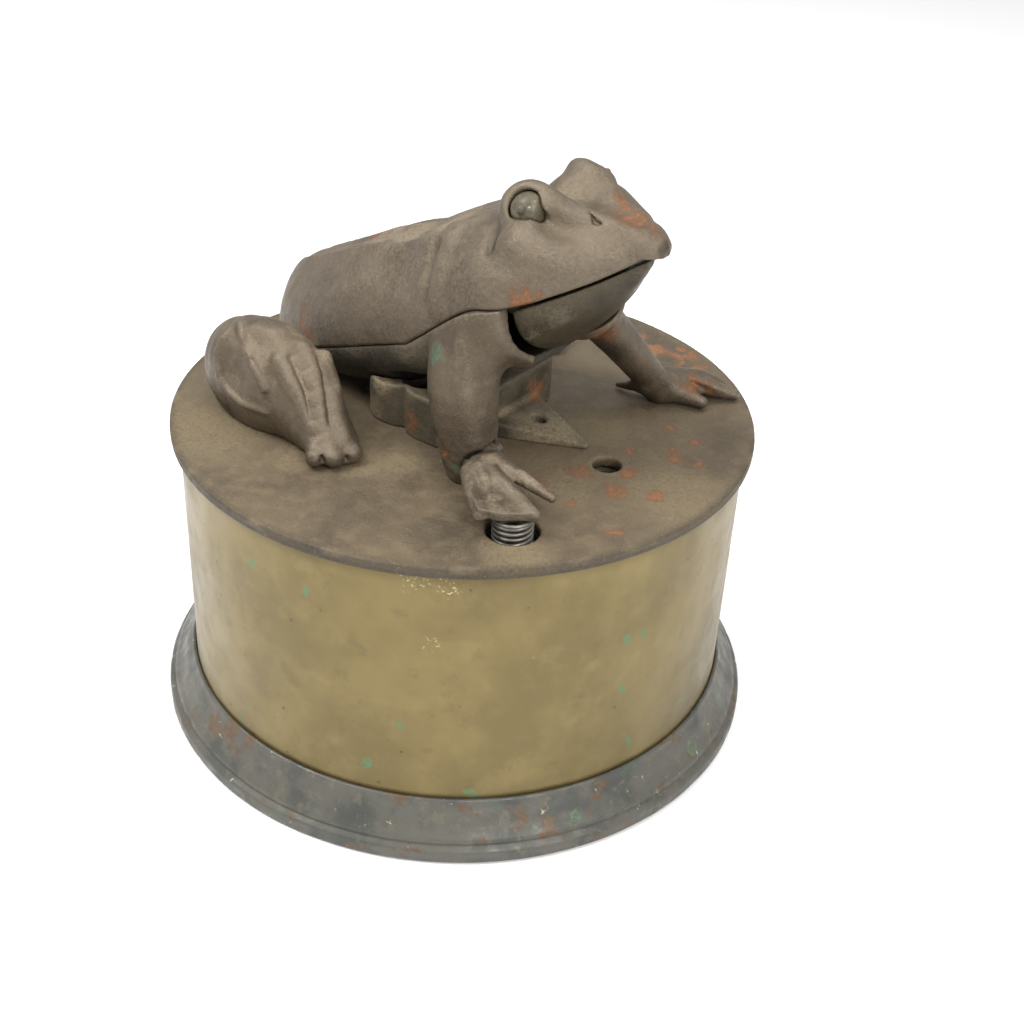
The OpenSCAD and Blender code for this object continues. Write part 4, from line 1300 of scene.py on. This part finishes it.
# ---- small hardware keeps its CAD shape ----
for node, mat in (
    ("bottom_plate", chute_iron),
    ("bottom_screws", steel),
    ("tie_post", chute_iron),
    ("post_nut", steel),
    ("leg_nuts", steel),
    ("body_screw", steel),
    ("body_washer", steel),
    ("spring_cup", chute_iron),
    ("cup_rivets", steel),
    ("jaw_pins", steel),
    ("foot_pin", steel),
    ("eye_pins", steel),
    ("heel_lever", chute_iron),
    ("push_rod", steel),
    ("jaw_arms", chute_iron),
    ("eye_rocker", chute_iron),
):
    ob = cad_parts[node]
    ob.data.materials.clear()
    ob.data.materials.append(mat)

# ---- floor, light and camera ----

floor_mat = Shader("floor", (250, 250, 250), 0.9, 0.0)
floor = bpy.data.meshes.new("floor")
floor.from_pydata([(-3, -3, 0), (3, -3, 0), (3, 3, 0), (-3, 3, 0)], [], [(0, 1, 2, 3)])
floor.materials.append(floor_mat.done())
floor_ob = bpy.data.objects.new("floor", floor)
bpy.context.scene.collection.objects.link(floor_ob)

world = bpy.data.worlds.new("studio")
bpy.context.scene.world = world
world.use_nodes = True
world.node_tree.nodes["Background"].inputs["Color"].default_value = (1, 1, 1, 1)
world.node_tree.nodes["Background"].inputs["Strength"].default_value = 0.62
bpy.context.scene.view_settings.view_transform = "Standard"


def area(name, at, towards, size, power):
    data = bpy.data.lights.new(name, "AREA")
    data.shape = "SQUARE"
    data.size = size
    data.energy = power
    ob = bpy.data.objects.new(name, data)
    ob.location = at
    ob.rotation_mode = "QUATERNION"
    ob.rotation_quaternion = (Vector(towards) - Vector(at)).to_track_quat("-Z", "Y")
    bpy.context.scene.collection.objects.link(ob)


area("key", (-0.24, -0.26, 0.60), (0, 0, 0.08), 0.36, 3.8)
area("side", (0.50, -0.22, 0.46), (0, 0, 0.08), 0.26, 2.6)
area("top", (0.05, 0.20, 0.75), (0, 0, 0.05), 0.6, 2.4)

cam_data = bpy.data.cameras.new("camera")
cam_data.sensor_width = 36
cam_data.lens = 52.12
HEAD, TILT, ROLL = (math.radians(a) for a in (36.2, 57.5, 3.1))
cam = bpy.data.objects.new("camera", cam_data)
view = (Matrix.Rotation(HEAD, 3, "Z") @ Matrix.Rotation(TILT, 3, "X")) @ Matrix.Rotation(ROLL, 3, "Z")
cam.rotation_mode = "QUATERNION"
cam.rotation_quaternion = view.to_quaternion()
cam.location = (0.1606, -0.2018, 0.2032)
cam_data.clip_start, cam_data.clip_end = 0.01, 20
bpy.context.scene.collection.objects.link(cam)
bpy.context.scene.camera = cam
